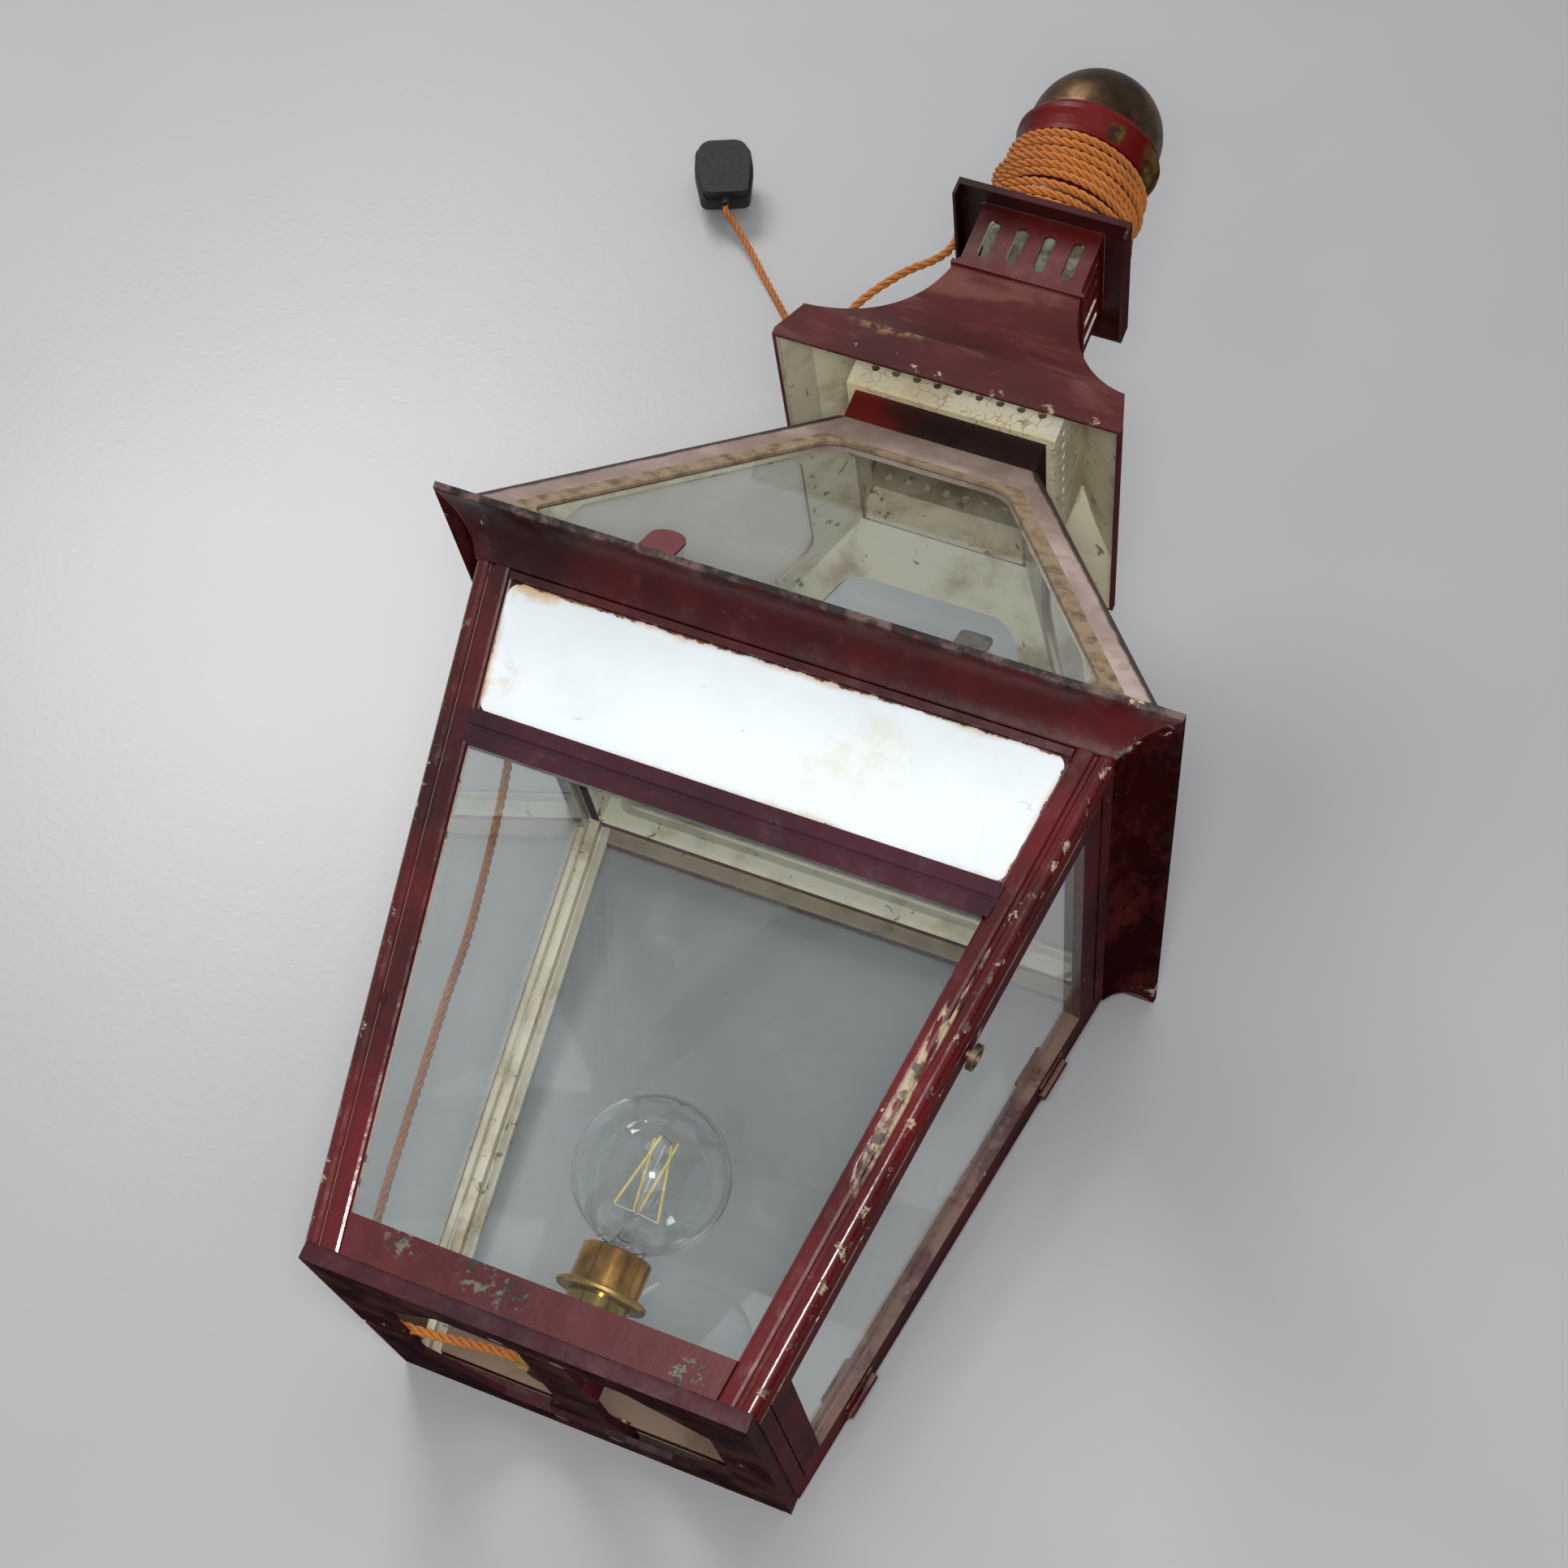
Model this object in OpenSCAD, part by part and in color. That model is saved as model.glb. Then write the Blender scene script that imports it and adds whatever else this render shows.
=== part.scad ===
// Railway platform lantern, lying on its back as in the photo.
// A glazed tapering body with a hinged side door, a hipped glass roof,
// a vented chimney head, an electric lamp and a long wound flex.
// Millimetres. Z up, the rear of the lantern on the floor, its top toward +Y.

/* [Body] */
// Half width of the glazed body at its foot
base_half = 130; // [120:1:140]
// Half width of the glazed body under the cornice
top_half = 191.5; // [180:0.5:200]
// Height of the glazed body
body_h = 394; // [380:1:410]
// Width of a corner post on each face
post_w = 22; // [20:0.5:26]
// Thickness of the post and rail faces in front of the glass
face_t = 6; // [4:0.5:8]
// Depth of the solid core of a post
core_d = 15; // [13:0.5:18]
// Depth of the rails behind the face
rail_d = 12; // [10:0.5:14]
// Height of the bottom rails
rail_h = 22; // [18:1:28]
// Thickness of the window glass
glass_t = 3; // [2:0.5:4]
// Glass edge hidden behind each post and rail
glass_lap = 5; // [3:0.5:6]

/* [Base] */
// Height of the base ring
base_h = 10; // [8:1:14]
// Thickness of the flat base flange
flange_t = 4; // [3:0.5:5]
// Half width of the open base window
window_half = 100; // [95:1:105]
// Leg of the triangular corner gussets
gusset = 45; // [35:1:55]
// Distance of the fixing holes from the middle
fix_x = 112; // [110:0.5:113]
// Diameter of the fixing holes
fix_d = 11; // [8:0.5:13]
// Width of the cross bar
bar_w = 30; // [24:1:36]
// Width of the cross bar at its two ends
bar_end_w = 55; // [50:1:64]
// Thickness of the cross bar
bar_t = 5; // [4:0.5:6]
// Width of the cable notch in the left side of the base
notch_w = 8; // [7:0.5:10]
// Distance of the cable notch behind the middle
notch_y = 18; // [16:0.5:20]
// Diameter of the base screws
screw_d = 5; // [4:0.5:6]
// Diameter of the screw heads and nuts
screw_head = 9; // [8:0.5:11]
// Distance of the screws from the middle of the bar
screw_x = 18; // [16:0.5:21]
// Diameter of the boss in the middle of the bar
boss_d = 44; // [40:1:50]
// Height of the boss top above the foot
boss_top = 16; // [14:0.5:20]

/* [Front] */
// From the body top down to the underside of the rail below the name plate
plate_rail_drop = 104; // [102:1:118]
// Height of that rail
plate_rail_h = 21; // [18:1:24]
// How far that rail stands out in front of the posts
plate_rail_out = 2.5; // [1.5:0.5:4]
// Height of the enamel plate along the slope
plate_h = 78; // [70:1:79]
// Thickness of the enamel plate
plate_t = 3; // [2:0.5:3.5]
// Corner radius of the enamel plate
plate_r = 8; // [4:1:14]
// Height of the top rails
head_h = 12; // [9:0.5:16]

/* [Door] */
// Width of the door stiles
stile_w = 18; // [14:1:22]
// Running gap round the door
door_gap = 0.8; // [0.6:0.1:1.2]
// Gap over the door, wider because the hinge leans
door_top_gap = 3; // [2.5:0.25:4]
// Hinge barrel diameter
barrel_d = 5.4; // [5:0.2:7]
// Hinge pin diameter
pin_d = 2.6; // [2.2:0.1:2.8]
// Length of each hinge
hinge_len = 30; // [26:1:40]
// Width of a hinge leaf
leaf_w = 11; // [9:0.5:13]
// Height of the lower hinge
hinge_low = 80; // [60:1:100]
// From the body top down to the upper hinge
hinge_drop = 74; // [60:1:100]
// Height of the latch knob
knob_z = 229; // [200:1:260]
// Diameter of the latch knob
knob_d = 16; // [12:0.5:20]
// Diameter of the latch spindle
spindle_d = 5; // [4:0.5:6]

/* [Cornice and roof] */
// How far the cornice edge stands out past the body
cornice_out = 30.5; // [27:0.5:34]
// Height of the cornice
cornice_h = 24; // [21:1:28]
// Height of the plain edge round the cornice top
rim_edge = 4; // [3:0.5:8]
// Ledge of the cornice outside the roof
ledge = 12; // [9:1:14]
// Half width of the roof at its top
roof_top_half = 66; // [65:0.5:70]
// Rise of the roof
roof_h = 202; // [190:1:210]
// Thickness of the roof frame
roof_t = 8; // [7:0.5:10]
// Width of the frame border up the hips
hip_w = 18; // [15:1:24]
// Width of the putty round the roof glass
putty_w = 12; // [9:0.5:15]

/* [Chimney head] */
// Half width of the square throat collar
collar_half = 64; // [60:0.5:64.5]
// Height of the throat collar
collar_h = 25; // [22:1:30]
// Half width of the deflector box
box_half = 70; // [69:0.5:72]
// Diameter of the vent holes in the deflector box
vent_d = 5.5; // [4:0.5:7]
// Spacing of the vent holes
vent_gap = 14; // [12:0.5:15]
// Half width of the cowl rim
cowl_half = 114; // [108:1:118]
// Height of the cowl's underside over the roof top
cowl_rise = 15; // [11:1:20]
// Half width of the cowl at the top of its rim
brow_half = 106; // [102:1:107]
// Height of the cowl rim
cowl_rim_h = 32; // [29:1:37]
// Radius of the concave sweep of the cowl
sweep_r = 150; // [135:5:180]
// Half width of the cowl at its top
crown_half = 44; // [43.5:0.5:46]
// Rise of the cowl's sweep
sweep_h = 98; // [94:1:104]
// Half width of the slotted neck
neck_half = 42; // [40:0.5:43]
// Thickness of the sheet parts
sheet_t = 2.4; // [2:0.2:3]
// Slot width
slot_w = 7.5; // [6:0.5:9]
// Slot height
slot_h = 30; // [24:1:34]
// Half width of the flat hood
hood_half = 60; // [58:1:62]
// Height of the slotted neck with its hood
neck_h = 56; // [52:1:60]
// Drop of the hood lips
hood_lip = 13; // [8:1:16]
// Outer radius of the round drum
drum_r = 45; // [44:0.25:46]
// Height of the drum up to the bulged band
drum_h = 68; // [67:0.5:72]
// Height of the bulged band
band_h = 25; // [23:0.5:28]
// Outer radius of the dome
dome_r = 47; // [47:0.25:49]
// Height of the dome's centre over the band
dome_rise = 8; // [5:0.5:14]

/* [Lamp] */
// Radius of the lower holder body
holder_r = 19; // [17:0.5:20]
// Radius of the holder sleeve
sleeve_r = 21.5; // [21:0.5:23]
// Underside of the sleeve
sleeve_z = 62; // [58:1:64]
// Top of the sleeve
sleeve_top = 86; // [84:0.5:86.5]
// Radius of the shade ring
shade_r = 28; // [26:0.5:30]
// Radius of the glass globe
globe_r = 47.5; // [45:0.5:48]
// Centre height of the globe
globe_z = 136; // [135:0.5:138]
// Radius of the screw cap
cap_r = 13; // [12.5:0.1:13.4]
// Radial play of the cap in its holder
cap_play = 1; // [0.6:0.1:1.4]

/* [Flex and plug] */
// Diameter of the braided flex
flex_d = 6.2; // [5.6:0.1:6.2]
// Turns of flex round the drum
turns = 8.75; // [7.75:1:8.75]
// Width of the plug
plug_w = 50; // [46:1:54]
// Length of the plug
plug_l = 58; // [54:1:62]
// Thickness of the plug
plug_t = 22; // [19:0.5:24]

/* [Hidden] */
$fn = 48;
slope = (top_half - base_half) / body_h;
lean = atan(slope);
edge_lean = atan(sin(lean));
skew = slope * slope / (1 + slope * slope);
corner_len = sqrt(1 + 2 * slope * slope);
cornice_half = top_half + cornice_out;
cornice_z = body_h + cornice_h;
roof_half = cornice_half - ledge;
roof_z = cornice_z + roof_h;
collar_z = roof_z + collar_h;
cowl_z = roof_z + cowl_rise;
brow_z = cowl_z + cowl_rim_h;
crown_z = brow_z + sweep_h;
hood_z = crown_z + neck_h;
band_z = hood_z + drum_h;
band_top = band_z + band_h;
dome_z = band_top + dome_rise;
head_z = body_h - head_h;
plate_rail_z = body_h - plate_rail_drop;
hinge_high = body_h - hinge_drop;
stem_top = sleeve_top + 25.2;
rest = atan((cornice_half - base_half) / cornice_z);
foot_y = base_half * sin(rest);
top_y = dome_z * cos(rest) + dome_r;
mid_y = (top_y - foot_y) / 2;
foot_h = base_half * cos(rest);
pitch = atan((roof_z - cornice_z) / (roof_half - roof_top_half));
roof_len = (roof_z - cornice_z) / sin(pitch);
rail_foot = base_h - 0.2;
glass_in = (post_w - glass_lap) / cos(edge_lean);
post_in = post_w / cos(edge_lean) + 0.05;
door_in = post_in + door_gap;
door_foot = rail_h + base_h + 1 - 12;
door_head = head_z - door_top_gap;
plate_z0 = plate_rail_z + plate_rail_h + 0.3;
pane_top = body_h - (face_t + glass_t) * sin(lean) - 0.1;
curb_half = cornice_half - 32;
curb_z = cornice_z - 20;
throat_half = curb_half - 14;
sweep_in = [crown_half, crown_z];
sweep_out = [brow_half, brow_z];
chord = sweep_out - sweep_in;
chord_n = [-chord[1], chord[0]] / norm(chord);
sweep_c = (sweep_in + sweep_out) / 2
    + chord_n * sqrt(sweep_r * sweep_r - pow(norm(chord) / 2, 2));
box_top = sweep_c[1] - sqrt(pow(sweep_r + sheet_t, 2) - pow(sweep_c[0] - box_half, 2)) - 0.1;
flex_r = flex_d / 2;
wind_r = (drum_r + flex_r) / cos(7.5) + 0.1;
wind_hi = band_z - flex_r - 0.4;
wind_lo = hood_z + flex_r + 0.4;
wind_pitch = (wind_hi - wind_lo) / turns;
echo(least_gap_between_turns = wind_pitch * cos(atan(wind_pitch / (2 * PI * wind_r))) - flex_d);

// Lays the upright lantern on its back
module lay() {
    translate([0, -mid_y, foot_h])
    rotate([rest - 90, 0, 0])
    children();
}

// A point of the upright lantern in the lying frame
function laid(p) = [p[0],
    p[1] * sin(rest) + p[2] * cos(rest) - mid_y,
    foot_h - p[1] * cos(rest) + p[2] * sin(rest)];

// Half width of the body at a height
function half_at(z) = base_half + slope * z;

// Frame of one wall: 0 front, 1 right, 2 rear, 3 left
module wall(i) {
    rotate([0, 0, 90 * i])
    translate([0, -base_half, 0])
    rotate([90 + lean, 0, 0])
    children();
}

// Point on a wall at a height, a given distance in from its edge
function wall_pt(side, z, inset) = [side * (half_at(z) - inset), z / cos(lean)];

module wall_shape(z0, z1, inset) {
    polygon([wall_pt(-1, z0, inset), wall_pt(1, z0, inset),
        wall_pt(1, z1, inset), wall_pt(-1, z1, inset)]);
}

// Flat piece of a wall between two depths behind its face
module wall_slab(i, z0, z1, inset, d0, d1) {
    wall(i)
    translate([0, 0, -d1])
    linear_extrude(d1 - d0)
    wall_shape(z0, z1, inset);
}

// Frame of one roof slope, numbered like the walls
module roof(i) {
    rotate([0, 0, 90 * i])
    translate([0, -roof_half, cornice_z])
    rotate([pitch, 0, 0])
    children();
}

function roof_pt(side, v, inset) = [side * (roof_half - v * cos(pitch) - inset), v];

// Outline with each corner rounded
function to_prev(p, i) = let (d = p[(i + len(p) - 1) % len(p)] - p[i]) d / norm(d);
function to_next(p, i) = let (d = p[(i + 1) % len(p)] - p[i]) d / norm(d);
function half_angle(p, i) = acos(to_prev(p, i) * to_next(p, i)) / 2;

module soft_shape(p, r) {
    polygon([for (i = [0 : len(p) - 1])
        let (t = r[i] / tan(half_angle(p, i)))
        each [p[i] + to_prev(p, i) * t, p[i] + to_next(p, i) * t]]);
    for (i = [0 : len(p) - 1]) {
        mid = to_prev(p, i) + to_next(p, i);
        translate(p[i] + mid / norm(mid) * r[i] / sin(half_angle(p, i)))
        circle(r[i]);
    }
}

// Square solid swept from one half outline, as a mitred moulding is
module square_solid(w) {
    intersection() {
        rotate([90, 0, 0])
        linear_extrude(2 * w, center = true)
        children();
        rotate([90, 0, 90])
        linear_extrude(2 * w, center = true)
        children();
    }
}

module box_to(x0, y0, z0, x1, y1, z1) {
    translate([x0, y0, z0])
    cube([x1 - x0, y1 - y0, z1 - z0]);
}

module square_tube(h0, h1, z0, z1) {
    difference() {
        box_to(-h1, -h1, z0, h1, h1, z1);
        box_to(-h0, -h0, z0 - 1, h0, h0, z1 + 1);
    }
}

// Round rod between two points
module rod(p, q, r) {
    d = q - p;
    translate(p)
    rotate([0, acos(d[2] / norm(d)), atan2(d[1], d[0])])
    cylinder(r = r, h = norm(d));
}

// Base

module base_frame() {
    color("#4a3a40") lay()
    difference() {
        union() {
            square_tube(window_half, base_half, 0, flange_t);
            square_tube(base_half - 8, base_half, 0, base_h);
            for (i = [0 : 3]) {
                rotate([0, 0, 90 * i])
                linear_extrude(flange_t)
                polygon([[window_half + 1, window_half + 1], [window_half - gusset, window_half + 1],
                    [window_half - gusset, window_half], [window_half, window_half - gusset],
                    [window_half + 1, window_half - gusset]]);
            }
        }
        for (s = [-1, 1]) {
            translate([s * fix_x, 0, -1])
            cylinder(d = fix_d, h = flange_t + 2);
        }
        at_screws()
        union() {
            translate([0, 0, -1])
            cylinder(d = screw_d + 0.5, h = flange_t + 2);
            translate([0, 0, -0.01])
            cylinder(d1 = screw_head + 0.5, d2 = screw_d + 0.5, h = (screw_head - screw_d) / 2);
        }
        translate([-base_half - 1, notch_y - notch_w / 2, -1])
        cube([base_half - window_half + 2, notch_w, base_h - 0.2]);
    }
}

module at_screws() {
    for (s = [-1, 1], t = [-1, 1]) {
        translate([t * screw_x, s * (window_half + 6), 0])
        children();
    }
}

module cross_bar() {
    end_y = base_half - 8.2;
    color("#4d3d42") lay()
    difference() {
        union() {
            translate([0, 0, flange_t])
            linear_extrude(bar_t)
            polygon([[-bar_end_w / 2, -end_y], [bar_end_w / 2, -end_y],
                [bar_end_w / 2, -window_half], [bar_w / 2, -window_half + 26],
                [bar_w / 2, window_half - 26], [bar_end_w / 2, window_half],
                [bar_end_w / 2, end_y], [-bar_end_w / 2, end_y],
                [-bar_end_w / 2, window_half], [-bar_w / 2, window_half - 26],
                [-bar_w / 2, -window_half + 26], [-bar_end_w / 2, -window_half]]);
            translate([0, 0, flange_t])
            cylinder(d = boss_d, h = boss_top - flange_t);
        }
        at_screws()
        translate([0, 0, flange_t - 1])
        cylinder(d = screw_d + 0.5, h = bar_t + 2);
    }
}

module base_screws() {
    color("#3b3536") lay()
    at_screws()
    union() {
        translate([0, 0, 0.2])
        cylinder(d1 = screw_head, d2 = screw_d, h = (screw_head - screw_d) / 2);
        translate([0, 0, 0.2])
        cylinder(d = screw_d, h = flange_t + bar_t + 1);
        translate([0, 0, flange_t + bar_t])
        cylinder(d = screw_head, h = 3.4);
    }
}

// Body

// Moulded corner post: a bead on the corner, then a groove and a ridge on each face
module post(sx, sy) {
    w = post_w;
    half = [[5.3, 0], [7.8, 0.5], [9, 1.5], [9, 2.7], [11.4, 2.7], [11.4, 1.5], [12.3, 0.5],
        [14, 0], [w - 2.8, 0], [w - 1.2, 0.5], [w, 1.8], [w, face_t], [core_d, face_t]];
    ref = concat(half, [[core_d, core_d]],
        [for (i = [len(half) - 1 : -1 : 0]) [half[i][1], half[i][0]]]);
    color("#5d1f22") lay()
    intersection() {
        box_to(-300, -300, base_h, 300, 300, body_h);
        translate([sx * base_half, sy * base_half, 0])
        rotate([-sy * asin(slope / corner_len), sx * lean, 0])
        translate([0, 0, -40])
        linear_extrude(body_h + 90)
        union() {
            polygon([for (i = [0 : len(ref) - 1])
                let (p = ref[sx * sy > 0 ? i : len(ref) - 1 - i])
                [-sx * p[0] * sqrt(1 - skew * skew), sy * p[0] * skew - sy * p[1]]]);
            translate([-sx * 5, -sy * (5 - 5 * skew)])
            circle(4.8);
        }
    }
}

module post_front_left() { post(-1, -1); }
module post_front_right() { post(1, -1); }
module post_rear_left() { post(-1, 1); }
module post_rear_right() { post(1, 1); }

module bottom_rail(i) {
    color("#632124") lay()
    union() {
        wall_slab(i, rail_foot, base_h + rail_h, post_in, 0, face_t);
        wall_slab(i, rail_foot + 1, base_h + rail_h - glass_lap, post_in, face_t - 0.5, rail_d);
    }
}

module rail_front() { bottom_rail(0); }
module rail_rear() { bottom_rail(2); }
module rail_left() { bottom_rail(3); }

module door_sill() {
    color("#4c3336") lay()
    wall_slab(1, rail_foot, door_foot - 1, post_in, 0, rail_d);
}

module top_rail(i, z0) {
    color("#5a2022") lay()
    wall_slab(i, z0, body_h - face_t * sin(lean) - 0.05, post_in, 0, face_t);
}

module top_rail_front() { top_rail(0, plate_z0 + plate_h * cos(lean) + 0.3); }
module top_rail_right() { top_rail(1, head_z); }
module top_rail_rear() { top_rail(2, head_z); }
module top_rail_left() { top_rail(3, head_z); }

// Coved cornice ring with a seat for the roof curb
module cornice() {
    foot = half_at(body_h) + 0.5;
    edge_z = cornice_z - rim_edge;
    cove_a = [foot + 0.5, body_h + 0.8];
    cove_b = [cornice_half - 1.4, edge_z - 0.6];
    run = cove_b - cove_a;
    cove_r = norm(run) * 0.9;
    cove_c = (cove_a + cove_b) / 2
        + [run[1], -run[0]] / norm(run) * sqrt(cove_r * cove_r - pow(norm(run) / 2, 2));
    color("#531c1f") lay()
    difference() {
        square_solid(cornice_half + 10)
        difference() {
            polygon([[-foot, body_h], [foot, body_h], cove_a, cove_b,
                [cornice_half - 0.6, edge_z], [cornice_half, cornice_z],
                [-cornice_half, cornice_z], [-cornice_half + 0.6, edge_z],
                [-cove_b[0], cove_b[1]], [-cove_a[0], cove_a[1]]]);
            for (s = [-1, 1]) {
                translate([s * cove_c[0], cove_c[1]])
                circle(cove_r, $fn = 72);
            }
        }
        box_to(-throat_half, -throat_half, body_h - 1, throat_half, throat_half, curb_z + 1);
        box_to(-curb_half, -curb_half, curb_z, curb_half, curb_half, cornice_z + 1);
    }
}

// Front rail under the name plate, with a long groove
module plate_rail() {
    z1 = plate_rail_z + plate_rail_h;
    mid = (plate_rail_z + z1) / 2;
    color("#4a1a20") lay()
    difference() {
        union() {
            wall_slab(0, plate_rail_z, z1, post_in, -plate_rail_out, face_t);
            wall_slab(0, plate_rail_z + 1, z1 - 1, post_in - 3, -plate_rail_out, -0.05);
        }
        wall_slab(0, mid - 2, mid + 2, 0, -plate_rail_out - 1, -plate_rail_out + 2);
    }
}

module sign_board() {
    color("#6a2426") lay()
    wall_slab(0, plate_rail_z + plate_rail_h - 6, pane_top, glass_in, face_t, face_t + glass_t);
}

module name_plate() {
    z0 = plate_z0;
    z1 = z0 + plate_h * cos(lean);
    inset = post_in + 0.2;
    color("#e8edf0") lay()
    wall(0)
    translate([0, 0, -face_t])
    linear_extrude(plate_t)
    soft_shape([wall_pt(-1, z0, inset), wall_pt(1, z0, inset),
        wall_pt(1, z1, inset), wall_pt(-1, z1, inset)],
        [plate_r, plate_r, plate_r, plate_r]);
}

module body_pane(i, z1) {
    color("#c8d4d4", 0.3) lay()
    wall_slab(i, base_h + rail_h - glass_lap + 0.2, z1, glass_in, face_t, face_t + glass_t);
}

module pane_front() { body_pane(0, plate_rail_z + plate_rail_h - 6.6); }
module pane_left() { body_pane(3, pane_top); }
module pane_rear() { body_pane(2, pane_top); }

// Door

module door_shape(grow, z_grow) {
    polygon([wall_pt(-1, door_foot + z_grow, door_in + grow),
        wall_pt(1, door_foot + z_grow, door_in + grow),
        wall_pt(1, door_head - z_grow, door_in + grow),
        wall_pt(-1, door_head - z_grow, door_in + grow)]);
}

module door_frame() {
    knob_x = -(half_at(knob_z) - door_in - stile_w / 2);
    color("#571d20") lay()
    wall(1)
    difference() {
        translate([0, 0, -rail_d])
        linear_extrude(rail_d)
        door_shape(0, 0);
        translate([0, 0, -rail_d - 1])
        linear_extrude(rail_d + 2)
        door_shape(stile_w, stile_w);
        translate([0, 0, -rail_d - 1])
        linear_extrude(rail_d + 1 - face_t)
        door_shape(stile_w - 6, stile_w - 6);
        translate([knob_x, knob_z / cos(lean), -rail_d - 1])
        cylinder(d = spindle_d + 0.6, h = rail_d + 2);
    }
}

module door_pane() {
    color("#c8d4d4", 0.3) lay()
    wall(1)
    translate([0, 0, -face_t - glass_t])
    linear_extrude(glass_t)
    door_shape(stile_w - 5.5, stile_w - 5.5);
}

// Frame on the hinge line: z along it, x toward the post, y into the wall
module hinge_line(z) {
    lay()
    wall(1)
    translate([half_at(z) - post_in - door_gap / 2, z / cos(lean), barrel_d / 2])
    rotate([-90, 0, 0])
    rotate([0, edge_lean, 0])
    children();
}

module knuckle(z0, z1, side, bore) {
    difference() {
        union() {
            translate([0, 0, z0])
            cylinder(d = barrel_d, h = z1 - z0);
            box_to(min(0, side * leaf_w), barrel_d / 2 - 1.3, z0,
                max(0, side * leaf_w), barrel_d / 2, z1);
        }
        translate([0, 0, z0 - 1])
        cylinder(d = bore, h = z1 - z0 + 2);
    }
}

module hinge_post_leaves() {
    third = hinge_len / 3;
    color("#4b2a2a")
    for (z = [hinge_low, hinge_high]) {
        hinge_line(z)
        union() {
            knuckle(-hinge_len / 2, -third / 2 - 0.3, 1, pin_d);
            knuckle(third / 2 + 0.3, hinge_len / 2, 1, pin_d);
            box_to(barrel_d / 2 + 0.6, barrel_d / 2 - 1.3, -hinge_len / 2, leaf_w,
                barrel_d / 2, hinge_len / 2);
        }
    }
}

module hinge_door_leaves() {
    third = hinge_len / 3;
    color("#4b2a2a")
    for (z = [hinge_low, hinge_high]) {
        hinge_line(z)
        union() {
            knuckle(-third / 2, third / 2, -1, pin_d + 0.6);
            box_to(-leaf_w, barrel_d / 2 - 1.3, -hinge_len / 2, -barrel_d / 2 - 0.6,
                barrel_d / 2, hinge_len / 2);
        }
    }
}

module hinge_pins() {
    color("#5a5450")
    for (z = [hinge_low, hinge_high]) {
        hinge_line(z)
        translate([0, 0, -hinge_len / 2 - 1])
        cylinder(d = pin_d, h = hinge_len + 2);
    }
}

module latch_line() {
    lay()
    wall(1)
    translate([-(half_at(knob_z) - door_in - stile_w / 2), knob_z / cos(lean), 0])
    children();
}

module latch_knob() {
    color("#7a6a5c")
    latch_line()
    difference() {
        union() {
            translate([0, 0, 0.3])
            cylinder(d = spindle_d + 3, h = 3);
            translate([0, 0, 3])
            cylinder(d = knob_d, h = 3.5);
        }
        translate([0, 0, 4.5])
        cylinder(d = knob_d - 4, h = 4);
    }
}

module latch_tongue() {
    back = core_d + 1.2;
    color("#5b5350")
    latch_line()
    union() {
        translate([0, 0, -back - 3])
        cylinder(d = spindle_d, h = back + 3.3);
        translate([-5, -20, -back - 3])
        cube([10, 26, 3]);
    }
}

// Roof

function pane_shape(grow) = [roof_pt(-1, 10 - grow / 2, hip_w + putty_w - grow),
    roof_pt(1, 10 - grow / 2, hip_w + putty_w - grow),
    roof_pt(1, roof_len - 36 + grow / 2, hip_w + putty_w - grow),
    roof_pt(-1, roof_len - 36 + grow / 2, hip_w + putty_w - grow)];

module roof_frame() {
    shift = roof_t / sin(pitch);
    color("#b9a09a") lay()
    difference() {
        union() {
            square_solid(roof_half + 5)
            polygon([[-roof_half, cornice_z], [roof_half, cornice_z],
                [roof_top_half, roof_z], [-roof_top_half, roof_z]]);
            box_to(-curb_half + 0.2, -curb_half + 0.2, curb_z, curb_half - 0.2, curb_half - 0.2, cornice_z + 1);
        }
        box_to(-throat_half, -throat_half, curb_z - 1, throat_half, throat_half, cornice_z + 0.01);
        square_solid(roof_half + 5)
        polygon([[-throat_half, cornice_z - 1], [throat_half, cornice_z - 1],
            [throat_half, cornice_z + (roof_half - shift - throat_half) * tan(pitch)],
            [roof_half - shift - (roof_z - 3 - cornice_z) / tan(pitch), roof_z - 3],
            [-roof_half + shift + (roof_z - 3 - cornice_z) / tan(pitch), roof_z - 3],
            [-throat_half, cornice_z + (roof_half - shift - throat_half) * tan(pitch)]]);
        box_to(-collar_half + 8, -collar_half + 8, roof_z - 10, collar_half - 8, collar_half - 8, roof_z + 1);
        for (i = [0 : 3]) {
            roof(i)
            union() {
                translate([0, 0, -5])
                linear_extrude(10)
                polygon(pane_shape(putty_w));
                translate([0, 0, -40])
                linear_extrude(50)
                soft_shape(pane_shape(0), [8, 8, 22, 22]);
            }
        }
    }
}

module roof_pane(i) {
    color("#cdd6d2", 0.35) lay()
    roof(i)
    translate([0, 0, -5])
    linear_extrude(3)
    polygon(pane_shape(putty_w - 0.6));
}

module roof_pane_front() { roof_pane(0); }
module roof_pane_right() { roof_pane(1); }
module roof_pane_rear() { roof_pane(2); }
module roof_pane_left() { roof_pane(3); }

module roof_putty() {
    color("#8a7660") lay()
    for (i = [0 : 3]) {
        roof(i)
        translate([0, 0, -2])
        difference() {
            linear_extrude(2)
            polygon(pane_shape(putty_w - 0.2));
            translate([0, 0, -1])
            linear_extrude(4)
            soft_shape(pane_shape(0), [8, 8, 22, 22]);
        }
    }
}

module clip(x, w, v1, r) {
    lay()
    roof(0)
    translate([x, 0, 0])
    linear_extrude(1.8)
    union() {
        translate([-w / 2, 1])
        square([w, v1 - r - 1]);
        translate([-w / 2 + r, 1])
        square([w - 2 * r, v1 - 1]);
        for (s = [-1, 1]) {
            translate([s * (w / 2 - r), v1 - r])
            circle(r);
        }
    }
}

module clip_left() { color("#7a3034") clip(-90, 22, 34, 10.5); }
module clip_right() { color("#8d8b88") clip(97, 19, 25, 4); }

// Chimney head

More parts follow.
